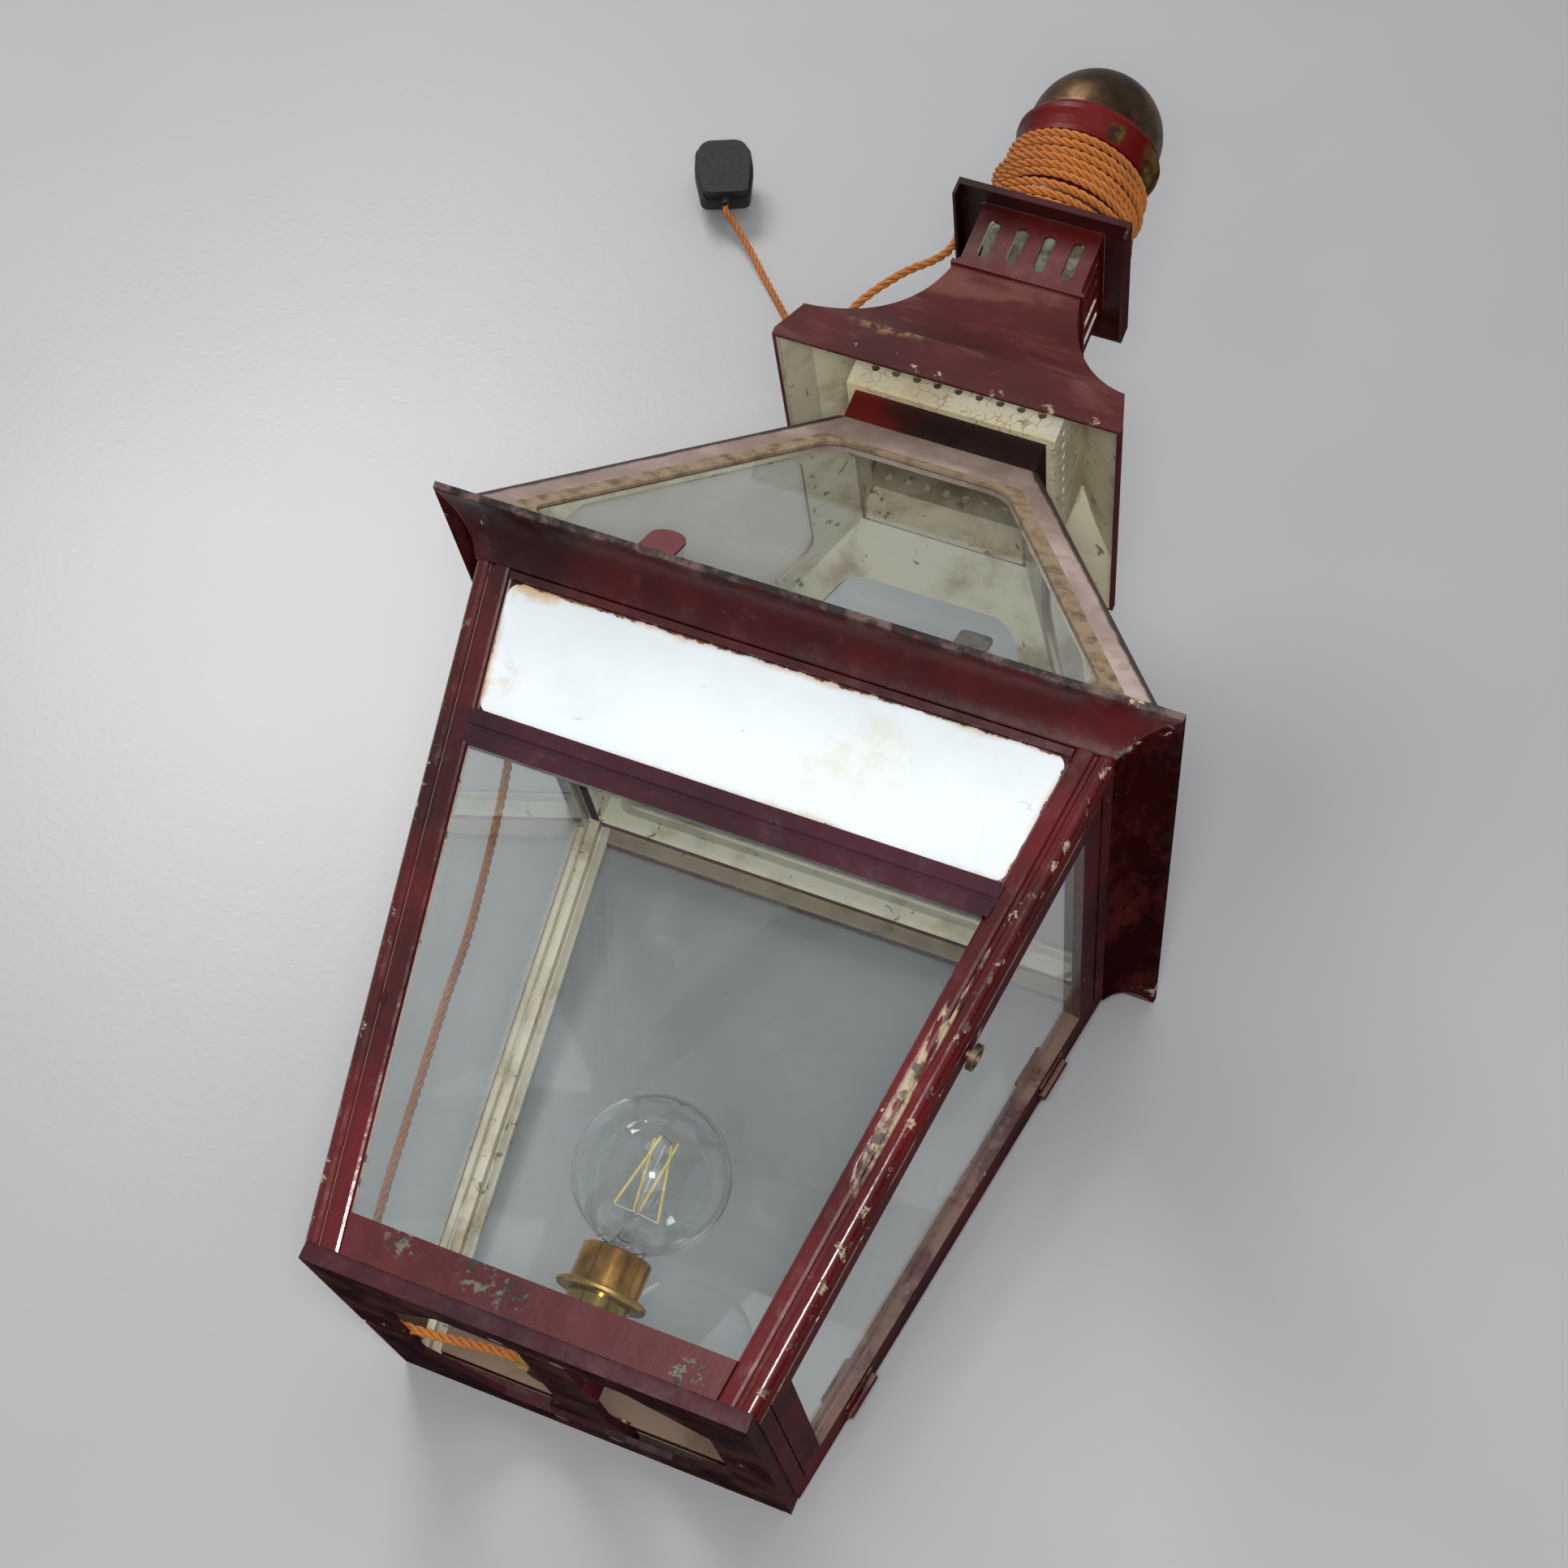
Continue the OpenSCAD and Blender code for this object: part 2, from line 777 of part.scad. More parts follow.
module throat_collar() {
    color("#4a2420") lay()
    square_tube(collar_half - sheet_t, collar_half, roof_z, collar_z);
}

module deflector_box() {
    color("#d8d6c8") lay()
    difference() {
        union() {
            square_tube(box_half - sheet_t, box_half, collar_z - 3, box_top);
            square_tube(collar_half, box_half, collar_z - 3, collar_z - 3 + sheet_t);
        }
        for (i = [0, 1], x = [-4 : 4]) {
            rotate([0, 0, 90 * i])
            translate([x * vent_gap, 0, collar_z + 13])
            rotate([90, 0, 0])
            cylinder(d = vent_d, h = 3 * box_half, center = true);
        }
    }
}

module cowl_outline(t) {
    difference() {
        polygon([[-cowl_half + t, cowl_z - t], [cowl_half - t, cowl_z - t],
            [cowl_half - t, cowl_z + 5], [brow_half - t, brow_z - 1],
            [brow_half - t, brow_z], [crown_half - t, crown_z],
            [crown_half - t, crown_z + t], [-crown_half + t, crown_z + t],
            [-crown_half + t, crown_z], [-brow_half + t, brow_z],
            [-brow_half + t, brow_z - 1], [-cowl_half + t, cowl_z + 5]]);
        for (s = [-1, 1]) {
            translate([s * sweep_c[0], sweep_c[1]])
            circle(sweep_r + t, $fn = 180);
        }
    }
}

module cowl() {
    color("#6b2a2c") lay()
    difference() {
        square_solid(cowl_half + 5)
        cowl_outline(0);
        square_solid(cowl_half + 5)
        cowl_outline(sheet_t);
    }
}

module slotted_neck() {
    color("#5f2024") lay()
    difference() {
        union() {
            square_tube(neck_half - sheet_t, neck_half, crown_z, hood_z - 2);
            square_tube(neck_half - sheet_t, crown_half + 2, crown_z, crown_z + 3);
            square_tube(neck_half - sheet_t, neck_half + 1.2, crown_z + 2, crown_z + 6.5);
        }
        for (i = [0, 1], x = [-29, -9.5, 9.5, 29]) {
            rotate([0, 0, 90 * i])
            translate([x, 0, crown_z + 12])
            union() {
                translate([-slot_w / 2, -100, slot_w / 2])
                cube([slot_w, 200, slot_h - slot_w]);
                for (z = [slot_w / 2, slot_h - slot_w / 2]) {
                    translate([0, 0, z])
                    rotate([90, 0, 0])
                    cylinder(d = slot_w, h = 200, center = true);
                }
            }
        }
    }
}

module hood() {
    color("#5a2426") lay()
    union() {
        box_to(-hood_half, -hood_half, hood_z - 2, hood_half, hood_half, hood_z);
        box_to(-hood_half, -hood_half, hood_z - 2 - hood_lip + 1, -hood_half + 2, hood_half, hood_z - 1);
        box_to(hood_half - 2, -hood_half, hood_z - 2 - hood_lip + 1, hood_half, hood_half, hood_z - 1);
        box_to(-hood_half, hood_half - 2, hood_z - 2 - hood_lip + 1, hood_half, hood_half, hood_z - 1);
        box_to(-hood_half, -hood_half, hood_z - 5, hood_half, -hood_half + 2, hood_z - 1);
    }
}

module neck_drum() {
    color("#5d1d21") lay()
    difference() {
        translate([0, 0, hood_z])
        cylinder(r = drum_r, h = dome_z - 1 - hood_z, $fn = 72);
        translate([0, 0, hood_z - 1])
        cylinder(r = drum_r - sheet_t, h = dome_z + 1 - hood_z, $fn = 72);
    }
}

module neck_band() {
    color("#64191e") lay()
    rotate_extrude($fn = 72)
    polygon([[drum_r, band_z], [drum_r + 3.5, band_z], [drum_r + 3.5, band_z + 4],
        [drum_r + 5, band_top - 14], [drum_r + 6.5, band_top - 9],
        [drum_r + 6.5, band_top - 5], [drum_r + 5, band_top - 2],
        [drum_r + 3.5, band_top], [drum_r, band_top]]);
}

module dome_cap() {
    color("#6a4a36") lay()
    difference() {
        intersection() {
            union() {
                translate([0, 0, dome_z])
                sphere(r = dome_r, $fn = 72);
                translate([0, 0, band_top])
                cylinder(r = dome_r, h = dome_z - band_top, $fn = 72);
                translate([0, 0, band_top])
                cylinder(r = dome_r + 1, h = 3, $fn = 72);
            }
            box_to(-80, -80, band_top, 80, 80, dome_z + 80);
        }
        translate([0, 0, dome_z])
        sphere(r = drum_r, $fn = 72);
        translate([0, 0, band_top - 1])
        cylinder(r = drum_r, h = dome_z - band_top + 1, $fn = 72);
    }
}

// Lamp

module lampholder() {
    bore = cap_r + cap_play;
    color("#9c7236") lay()
    rotate_extrude()
    polygon([[0, boss_top], [holder_r, boss_top], [holder_r, sleeve_z],
        [sleeve_r, sleeve_z], [sleeve_r, sleeve_top - 1], [sleeve_r - 1, sleeve_top],
        [bore, sleeve_top], [bore, sleeve_z + 4], [0, sleeve_z + 4]]);
}

module shade_ring() {
    color("#b08a4a") lay()
    rotate_extrude()
    polygon([[holder_r, sleeve_z - 4], [shade_r - 1, sleeve_z - 4],
        [shade_r, sleeve_z - 3], [shade_r, sleeve_z - 1], [shade_r - 1, sleeve_z],
        [shade_r - 3, sleeve_z], [shade_r - 3, sleeve_z - 1.5],
        [sleeve_r, sleeve_z - 1.5], [sleeve_r, sleeve_z], [holder_r, sleeve_z]]);
}

// Bush in the side of the boss where the flex goes in
module entry_nipple() {
    color("#8f6c38") lay()
    intersection() {
        difference() {
            translate([-boss_d / 2 - 8, 0, (flange_t + boss_top) / 2])
            rotate([0, 90, 0])
            cylinder(d = 9.5, h = 12);
            translate([0, 0, -1])
            cylinder(d = boss_d, h = boss_top + 4);
        }
        box_to(-60, -20, -5, 0, 20, 40);
    }
}

module bulb_glass() {
    lip = cap_r + 0.6;
    color("#dde6e6", 0.25) lay()
    rotate_extrude($fn = 72)
    difference() {
        union() {
            translate([0, globe_z])
            intersection() {
                circle(globe_r);
                translate([0, -60])
                square([60, 120]);
            }
            translate([0, sleeve_top + 1])
            square([lip + 1.2, 10]);
        }
        translate([0, globe_z])
        intersection() {
            circle(globe_r - 1.2);
            translate([-1, -60])
            square([61, 120]);
        }
        translate([-1, 60])
        square([cap_r + 1, 40]);
    }
}

module bulb_cap() {
    color("#b9b4aa") lay()
    rotate_extrude()
    polygon([[0, sleeve_z + 4], [4, sleeve_z + 4], [5, sleeve_z + 6],
        [9, sleeve_z + 7], [cap_r, sleeve_z + 9], [cap_r, sleeve_top + 0.3],
        [cap_r + 1.8, sleeve_top + 0.3], [cap_r + 1.8, sleeve_top + 0.9], [0, sleeve_top + 0.9]]);
}

module bulb_stem() {
    z = sleeve_top + 1.2;
    color("#dde6e6", 0.4) lay()
    rotate_extrude()
    polygon([[0, z], [9, z], [7, z + 4], [4, z + 12], [3, z + 19], [3, stem_top], [0, stem_top]]);
}

function fil_low(i) = [14 * cos(90 * i + 20), 14 * sin(90 * i + 20), stem_top + 1];
function fil_high(i) = [8 * cos(90 * i + 75), 8 * sin(90 * i + 75), globe_z + 22];

module filaments() {
    color("#e6c23c") lay()
    for (i = [0 : 3]) {
        rod(fil_low(i), fil_high(i), 0.9);
    }
}

module filament_wires() {
    color("#9a9a96") lay()
    union() {
        rod([0, 0, stem_top + 0.2], [0, 0, globe_z + 24], 0.5);
        for (i = [0 : 3]) {
            rod([0, 0, stem_top + 0.9], fil_low(i) - [0, 0, 0.6], 0.4);
            rod([0, 0, globe_z + 23.6], fil_high(i) + [0, 0, 0.5], 0.4);
        }
    }
}

// Flex

// Smooth line through the route points
function spline(p0, p1, p2, p3, t) = 0.5 * (2 * p1 + (p2 - p0) * t
    + (2 * p0 - 5 * p1 + 4 * p2 - p3) * t * t
    + (3 * p1 - p0 - 3 * p2 + p3) * t * t * t);
function route(p, steps) = concat([for (i = [0 : len(p) - 2], k = [0 : steps - 1])
    spline(p[max(i - 1, 0)], p[i], p[i + 1], p[min(i + 2, len(p) - 1)], k / steps)],
    [p[len(p) - 1]]);
function tangent(p, i) = let (d = p[min(i + 1, len(p) - 1)] - p[max(i - 1, 0)]) d / norm(d);

// Keeps the cross section from turning as it travels
function frames(p) = [for (i = 0, t = tangent(p, 0),
    u = let (h = cross(t, abs(t[2]) < 0.8 ? [0, 0, 1] : [1, 0, 0])) h / norm(h);
    i < len(p);
    i = i + 1, t = tangent(p, min(i, len(p) - 1)),
    u = let (h = u - t * (u * t)) h / norm(h)) [t, u]];

module tube(p, r, sides) {
    f = frames(p);
    n = len(p);
    points = [for (i = [0 : n - 1], k = [0 : sides - 1])
        p[i] + r * (cos(360 * k / sides) * f[i][1]
        + sin(360 * k / sides) * cross(f[i][0], f[i][1]))];
    faces = concat([[for (k = [sides - 1 : -1 : 0]) k]],
        [for (i = [0 : n - 2], k = [0 : sides - 1]) [i * sides + k,
        i * sides + (k + 1) % sides, (i + 1) * sides + (k + 1) % sides, (i + 1) * sides + k]],
        [[for (k = [0 : sides - 1]) (n - 1) * sides + k]]);
    polyhedron(points = points, faces = [for (f = faces) [for (k = [len(f) - 1 : -1 : 0]) f[k]]],
        convexity = 10);
}

function wind_pt(a) = [wind_r * cos(180 + a), wind_r * sin(180 + a),
    wind_hi - wind_pitch * a / 360];
function wind_dir(a) = [-sin(180 + a), cos(180 + a), 0];
wind_start = wind_pt(0) - flex_d * wind_dir(0);
wind_end = wind_pt(360 * turns) + flex_d * wind_dir(360 * turns);
nipple_x = -boss_d / 2 - 8;
flex_x = nipple_x - 0.4;
entry_z = (flange_t + boss_top) / 2;

// Out of the boss, through the notch in the base, then up outside the left wall
lower_pts = [[flex_x, 0, entry_z], [flex_x - flex_d, 0, entry_z],
    [-52, 4.5, 9.4], [-76, 13, 7.4], [-100, 17.6, 5.8], [-114, 18, 5.3], [-126, 18, 5.3],
    [-134, 18, 6.4], [-140.2, 18, 10.8], [-143.4, 17.4, 18], [-145.2, 16.4, 30],
    [-149.4, 15, 56], [-157, 18, 100], [-178, 42, 200], [-188, 56, 250], [-200, 65, 300],
    [-212, 69, 350], [-223, 71, 390], [-227, 72, 408], [-226.6, 72, 422],
    [-218, 71, 442], [-190, 68, 490], [-150, 60, 560], [-124, 50, 618],
    [-119.5, 46, 640], [-121, 42, 662], [-124, 36, 690], [-124, 30, 720],
    [-114, 22, 755], [-92, 15, 784], [-72, 12, 802], [-65.5, 13, 816],
    [-66, 16, 834], [-66, 22, 852], [-62.5, 26.5, 869], [-56, 22.5, 881],
    wind_start + [-3.2, 9.5, 0.3], wind_start + [-0.25, 3, 0.05], wind_start + [0, 0.2, 0]];

tail_start = wind_end + 0.2 * wind_dir(360 * turns);
tail_drop = [tail_start, tail_start + flex_d * wind_dir(360 * turns), [-20, 54, 828],
    [-29, 66, 826], [-33, 84, 819], [-35, 120, 810], [-37, 180, 797], [-40, 240, 784]];
tail_floor = [[-46, 766, 17], [-60, 752, 5], [-82, 742, 3.2], [-112, 746, 3.2],
    [-140, 772, 3.2], [-168, 812, 3.2], [-200, 862, 3.2], [-234, 908, 3.2],
    [-265, 942, 3.2], [-290, 968, 4], [-318, 996, 9], [-340, 1014, 15.5]];

// Plug: pins down on the floor, so it leans toward the cord end
plug_at = [-367.5, 1058];
plug_turn = 25.6;
pin_drop = 17.7;
earth_drop = 22.7;
pin_gap = 22.2;
plug_tilt = atan((earth_drop - pin_drop) / pin_gap);
plug_up = (pin_drop + earth_drop) / 2 + 1;

module plug_frame() {
    translate([plug_at[0], plug_at[1] + foot_y - mid_y, 0])
    rotate([0, 0, plug_turn])
    rotate([plug_tilt, 0, 0])
    translate([0, 0, plug_up])
    children();
}

function plug_pt(y, z) = let (c = cos(plug_tilt), s = sin(plug_tilt),
    w = z + plug_up, yy = y * c - w * s)
    [plug_at[0] - sin(plug_turn) * yy,
    plug_at[1] + foot_y - mid_y + cos(plug_turn) * yy, y * s + w * c];

tail_pts = concat([for (p = tail_drop) laid(p)],
    [for (p = tail_floor) [p[0], p[1] + foot_y - mid_y, p[2]]],
    [plug_pt(-plug_l / 2 - 5.3 - flex_d, plug_t / 2), plug_pt(-plug_l / 2 - 5.3, plug_t / 2)]);

module flex_lower() {
    color("#a8622c")
    tube(route([for (p = lower_pts) laid(p)], 2), flex_r, 8);
}

module flex_winding() {
    color("#a8622c") lay()
    tube(concat([wind_start], [for (k = [0 : round(turns * 24)]) wind_pt(k * 15)], [wind_end]), flex_r, 6);
}

module flex_tail() {
    color("#a8622c")
    tube(route(tail_pts, 3), flex_r, 8);
}

module plug_body() {
    w = plug_w / 2;
    l = plug_l / 2;
    color("#2a2927")
    plug_frame()
    union() {
        linear_extrude(plug_t * 0.55)
        soft_shape([[-w * 0.82, -l], [w * 0.82, -l], [w, l * 0.1], [w * 0.92, l],
            [-w * 0.92, l], [-w, l * 0.1]], [7, 7, 20, 12, 12, 20]);
        translate([0, 0, plug_t * 0.55])
        linear_extrude(plug_t * 0.45)
        soft_shape([[-w * 0.74, -l + 2], [w * 0.74, -l + 2], [w - 2.5, l * 0.1],
            [w * 0.92 - 3, l - 3], [-w * 0.92 + 3, l - 3], [-w + 2.5, l * 0.1]],
            [7, 7, 20, 12, 12, 20]);
        translate([0, -l - 5, plug_t / 2])
        rotate([-90, 0, 0])
        cylinder(d = 12, h = 8);
    }
}

module plug_pins() {
    color("#b89a5a")
    plug_frame()
    union() {
        for (s = [-1, 1]) {
            box_to(s * 11.1 - 3.2, -pin_gap / 2 - 2, -pin_drop, s * 11.1 + 3.2, -pin_gap / 2 + 2, 0);
        }
        box_to(-2, pin_gap / 2 - 4, -earth_drop, 2, pin_gap / 2 + 4, 0);
    }
}

base_frame();
cross_bar();
base_screws();
rail_front();
rail_left();
rail_rear();
door_sill();
post_front_left();
post_front_right();
post_rear_left();
post_rear_right();
top_rail_front();
top_rail_left();
top_rail_rear();
top_rail_right();
cornice();
plate_rail();
sign_board();
name_plate();
pane_front();
pane_left();
pane_rear();
door_frame();
door_pane();
hinge_post_leaves();
hinge_door_leaves();
hinge_pins();
latch_knob();
latch_tongue();
roof_frame();
roof_pane_front();
roof_pane_left();
roof_pane_right();
roof_pane_rear();
roof_putty();
clip_left();
clip_right();
throat_collar();
deflector_box();
cowl();
slotted_neck();
hood();
neck_drum();
neck_band();
dome_cap();
lampholder();
shade_ring();
entry_nipple();
bulb_glass();
bulb_cap();
bulb_stem();
filaments();
filament_wires();
flex_lower();
flex_winding();
flex_tail();
plug_body();
plug_pins();
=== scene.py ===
import math

import bmesh
import bpy
from mathutils import Matrix, Vector, noise


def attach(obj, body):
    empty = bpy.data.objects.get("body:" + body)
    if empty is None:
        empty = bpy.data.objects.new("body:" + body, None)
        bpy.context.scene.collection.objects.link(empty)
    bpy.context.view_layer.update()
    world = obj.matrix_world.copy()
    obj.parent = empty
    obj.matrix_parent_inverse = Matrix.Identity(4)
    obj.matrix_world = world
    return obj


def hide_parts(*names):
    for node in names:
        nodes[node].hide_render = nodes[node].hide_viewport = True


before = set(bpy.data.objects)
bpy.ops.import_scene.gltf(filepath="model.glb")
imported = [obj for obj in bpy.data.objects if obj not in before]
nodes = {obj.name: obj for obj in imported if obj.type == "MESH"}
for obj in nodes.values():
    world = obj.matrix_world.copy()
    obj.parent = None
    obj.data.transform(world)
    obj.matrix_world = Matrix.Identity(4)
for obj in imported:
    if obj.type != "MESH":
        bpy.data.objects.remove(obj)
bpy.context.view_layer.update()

# Sizes of the lantern standing upright, in metres: x right, y to the rear, z up its axis
BASE_HALF, TOP_HALF, BODY_H = 0.130, 0.1915, 0.394
CORNICE_HALF, CORNICE_Z = 0.222, 0.418
DEFLECTOR_Z = 0.642
NECK_HALF = 0.042
DRUM_R, HOOD_Z, BAND_Z = 0.045, 0.821, 0.889
DOME_R, DOME_Z = 0.047, 0.922
PLATE_LOW, PLATE_HIGH = 0.3115, 0.3882
HOLDER_STEP = 0.0615  # where the holder's sleeve begins
FLEX_D = 0.0062
SLOPE = (TOP_HALF - BASE_HALF) / BODY_H

# It lies on its back, on the rear edges of its foot and cornice
REST = math.atan((CORNICE_HALF - BASE_HALF) / CORNICE_Z)
SR, CR = math.sin(REST), math.cos(REST)
FOOT_Y = BASE_HALF * SR
FOOT_H = BASE_HALF * CR
MID_Y = (DOME_Z * CR + DOME_R - FOOT_Y) / 2


def laid(p):
    """A point of the upright lantern, in the frame it lies in."""
    return Vector((p[0], p[1] * SR + p[2] * CR - MID_Y, FOOT_H - p[1] * CR + p[2] * SR))


# Camera at the photo's place
cam_data = bpy.data.cameras.new("camera")
cam_data.lens = 60.474
cam_data.sensor_width = 36
cam_data.clip_start = 0.05
camera = bpy.data.objects.new("camera", cam_data)
bpy.context.scene.collection.objects.link(camera)
CAMERA_AT = (0.3585, -0.956764, 1.53971)
CAMERA_TURN = Matrix(((0.924059, -0.304251, 0.231401), (0.382125, 0.750759, -0.538834),
                      (-0.009786, 0.586338, 0.810007)))
camera.matrix_world = Matrix.Translation(CAMERA_AT) @ CAMERA_TURN.to_4x4()
bpy.context.scene.camera = camera


# Materials

def srgb(r, g, b):
    """A colour written from 0 to 255, as the linear one that Blender takes."""
    def lin(v):
        v = v / 255
        return v / 12.92 if v <= 0.04045 else ((v + 0.055) / 1.055) ** 2.4
    return (lin(r), lin(g), lin(b), 1)


class Mat:
    """A node material with short helpers. Values and node outputs both go in as inputs."""

    def __init__(self, name):
        self.m = bpy.data.materials.new(name)
        self.m.use_nodes = True
        self.t = self.m.node_tree
        self.t.nodes.clear()
        self.out = self.node("OutputMaterial")
        self.coord = self.node("TexCoord")
        self.place = self.coord.outputs["Object"]

    def put(self, socket, value):
        """Link a node's output to the socket, or set the socket's own value."""
        if isinstance(value, bpy.types.NodeSocket):
            self.t.links.new(value, socket)
        else:
            socket.default_value = value

    def node(self, kind, ins=None, **props):
        """A new node with these inputs, by name or number, and properties."""
        n = self.t.nodes.new("ShaderNode" + kind)
        for k, v in props.items():
            setattr(n, k, v)
        for k, v in (ins or {}).items():
            self.put(n.inputs[k], v)
        return n

    def math(self, op, a, b=0.0, c=0.0):
        return self.node("Math", {0: a, 1: b, 2: c}, operation=op).outputs[0]

    def vector(self, op, *ins, out=0):
        return self.node("VectorMath", dict(enumerate(ins)), operation=op).outputs[out]

    def split(self, vec):
        return tuple(self.node("SeparateXYZ", {0: vec}).outputs)

    def step(self, v, low, high):
        """0 below low, 1 above high, smooth between."""
        return self.node("MapRange", {0: v, 1: low, 2: high, 3: 0.0, 4: 1.0},
                         interpolation_type="SMOOTHSTEP").outputs[0]

    def noise(self, scale, detail=4.0, rough=0.55, vec=None, distort=0.0):
        return self.node("TexNoise", {"Vector": vec or self.place, "Scale": scale,
                                      "Detail": detail, "Roughness": rough,
                                      "Distortion": distort}).outputs[0]

    def stretch(self, vec, sx, sy, sz):
        return self.node("Mapping", {"Vector": vec, "Scale": (sx, sy, sz)}).outputs[0]

    def mix(self, f, a, b):
        return self.node("Mix", {0: f, 6: a, 7: b}, data_type="RGBA").outputs[2]

    def bump(self, height, strength, dist, normal=None):
        ins = {"Height": height, "Strength": strength, "Distance": dist}
        if normal is not None:
            ins["Normal"] = normal
        return self.node("Bump", ins).outputs[0]

    def upright(self):
        """Place in the lantern's own upright frame."""
        spin = Matrix.Rotation(math.pi / 2 - REST, 4, "X")
        off = spin @ Vector((0, MID_Y, -FOOT_H))
        return self.node("Mapping", {"Vector": self.place, "Location": off,
                                     "Rotation": (math.pi / 2 - REST, 0, 0)}).outputs[0]

    def facing(self):
        """The surface's own direction in the upright frame."""
        return self.node("Mapping", {"Vector": self.coord.outputs["Normal"],
                                     "Rotation": (math.pi / 2 - REST, 0, 0)},
                         vector_type="NORMAL").outputs[0]

    def inner(self):
        """1 on faces that look in toward the lantern's axis."""
        out = self.vector("NORMALIZE", self.vector("MULTIPLY", self.upright(), (1, 1, 0)))
        dot = self.vector("DOT_PRODUCT", out, self.facing(), out="Value")
        return self.step(dot, -0.25, -0.32)

    def spot(self, up, x, y, z, size, ragged=0.4, scale=90):
        """A ragged blot round a point of the upright lantern."""
        d = self.vector("DISTANCE", up, (x, y, z), out="Value")
        d = self.math("MULTIPLY_ADD", self.noise(scale, 5, 0.6), -2 * ragged * size, d)
        return self.step(d, size * (1 - ragged), size * (0.6 - ragged))

    def principled(self, **ins):
        """Each name is one of the shader's inputs, with _ for a space."""
        return self.node("BsdfPrincipled", {k.replace("_", " "): v for k, v in ins.items()})

    def surface(self, color, rough, normal=None, metal=0.0, **extra):
        """Close the material with a principled shader, and give it back."""
        b = self.principled(Base_Color=color, Roughness=rough, Metallic=metal, **extra)
        if normal is not None:
            self.put(b.inputs["Normal"], normal)
        self.t.links.new(b.outputs[0], self.out.inputs["Surface"])
        return self.m


def cream(m, tint=(226, 219, 196)):
    """Old flaking cream paint with brown stains."""
    stain = m.noise(22, 6, 0.65)
    flake = m.noise(70, 5, 0.6, distort=0.6)
    stained = tuple(v * k for v, k in zip(tint, (0.74, 0.68, 0.57)))
    base = m.mix(m.step(stain, 0.46, 0.74), srgb(*tint), srgb(*stained))
    crack = m.step(flake, 0.62, 0.66)
    return m.mix(m.math("MULTIPLY", crack, 0.8), base, srgb(92, 70, 48))


def near_corner(m, up):
    """1 along the body's four sloping corners, 0 from 12 mm away."""
    x, y, z = m.split(up)
    least = m.math("MINIMUM", m.math("ABSOLUTE", x), m.math("ABSOLUTE", y))
    half = m.math("MULTIPLY_ADD", z, SLOPE, BASE_HALF)
    return m.step(m.math("SUBTRACT", half, least), 0.012, 0.0)


def paint(name, base, dark, rough=0.24, chips=0.5, inside=True, matte=0.0,
          tint=(226, 219, 196), dust=(122, 84, 80), edge=True, coat=0.3, right=False,
          extra=None, bare=(172, 158, 134), shine=0.5, flake=38):
    """Old gloss paint: clouded, streaked, chipped at the corners.

    With inside, the faces that look in are cream, of this tint. right does the same on the
    door's side, where the edges toward the front are worn brown. extra adds a piece's own wear.
    """
    m = Mat(name)
    up = m.upright()
    cloud = m.noise(9, 5, 0.6)
    fine = m.noise(55, 8, 0.7)
    streak = m.noise(26, 6, 0.6, vec=m.stretch(up, 1, 1, 0.18))
    color = m.mix(m.step(cloud, 0.35, 0.68), srgb(*base), srgb(*dark))
    color = m.mix(m.math("MULTIPLY", m.step(streak, 0.5, 0.75), 0.55), color, srgb(*dark))
    dusty = m.math("MULTIPLY", m.step(fine, 0.56, 0.76), 0.24 + matte)
    color = m.mix(dusty, color, srgb(*dust))
    chip_at = 0.70 - 0.05 * chips
    chip = m.noise(flake, 9, 0.72, distort=0.4)
    if edge:
        chip = m.math("MULTIPLY_ADD", near_corner(m, up), 0.11 * chips, chip)
    mask = m.step(chip, chip_at, chip_at + 0.015)
    # The side away from the window light is dull
    to_right, to_rear, _ = m.split(m.facing())
    m.dull = m.math("MULTIPLY", m.step(to_right, 0.5, 0.8), 0.92)
    if extra:
        color, mask = extra(m, up, color, mask)
    under = m.mix(m.step(m.noise(120, 4), 0.45, 0.6), srgb(*bare), srgb(*(v * 0.5 for v in bare)))
    color = m.mix(mask, color, under)
    roughness = m.math("MULTIPLY_ADD", m.step(fine, 0.4, 0.8), 0.26, rough + 0.5 * matte)
    if right:
        wear_and_side_shade = m.step(m.noise(30, 5, 0.6), 0.62, 0.42)
        fore = m.math("MULTIPLY", m.step(to_rear, -0.7, -0.85), wear_and_side_shade)
        color = m.mix(fore, color, srgb(110, 84, 74))
        mask = m.math("MAXIMUM", mask, fore)
        inner = m.step(to_right, -0.55, -0.7)
    elif inside:
        inner = m.inner()
    if inside or right:
        color = m.mix(inner, color, cream(m, tint))
        mask = m.math("MAXIMUM", mask, inner)
    roughness = m.math("MAXIMUM", roughness, m.math("MULTIPLY", mask, 0.68))
    roughness = m.math("MAXIMUM", roughness, m.math("MULTIPLY", m.dull, 0.75))
    h = m.math("MULTIPLY_ADD", m.noise(34, 3, 0.5), 0.6, m.math("MULTIPLY", streak, 0.5))
    h = m.math("MULTIPLY_ADD", mask, -0.5, h)
    normal = m.bump(h, 0.5, 0.002)
    normal = m.bump(m.noise(300, 3, 0.6), 0.12, 0.0006, normal)
    gloss = m.math("MULTIPLY_ADD", m.math("MAXIMUM", mask, m.dull), -coat, coat)
    spec = m.math("MULTIPLY_ADD", m.dull, -shine, shine)
    return m.surface(color, roughness, normal, Coat_Weight=gloss, Coat_Roughness=0.1,
                     Specular_IOR_Level=spec)
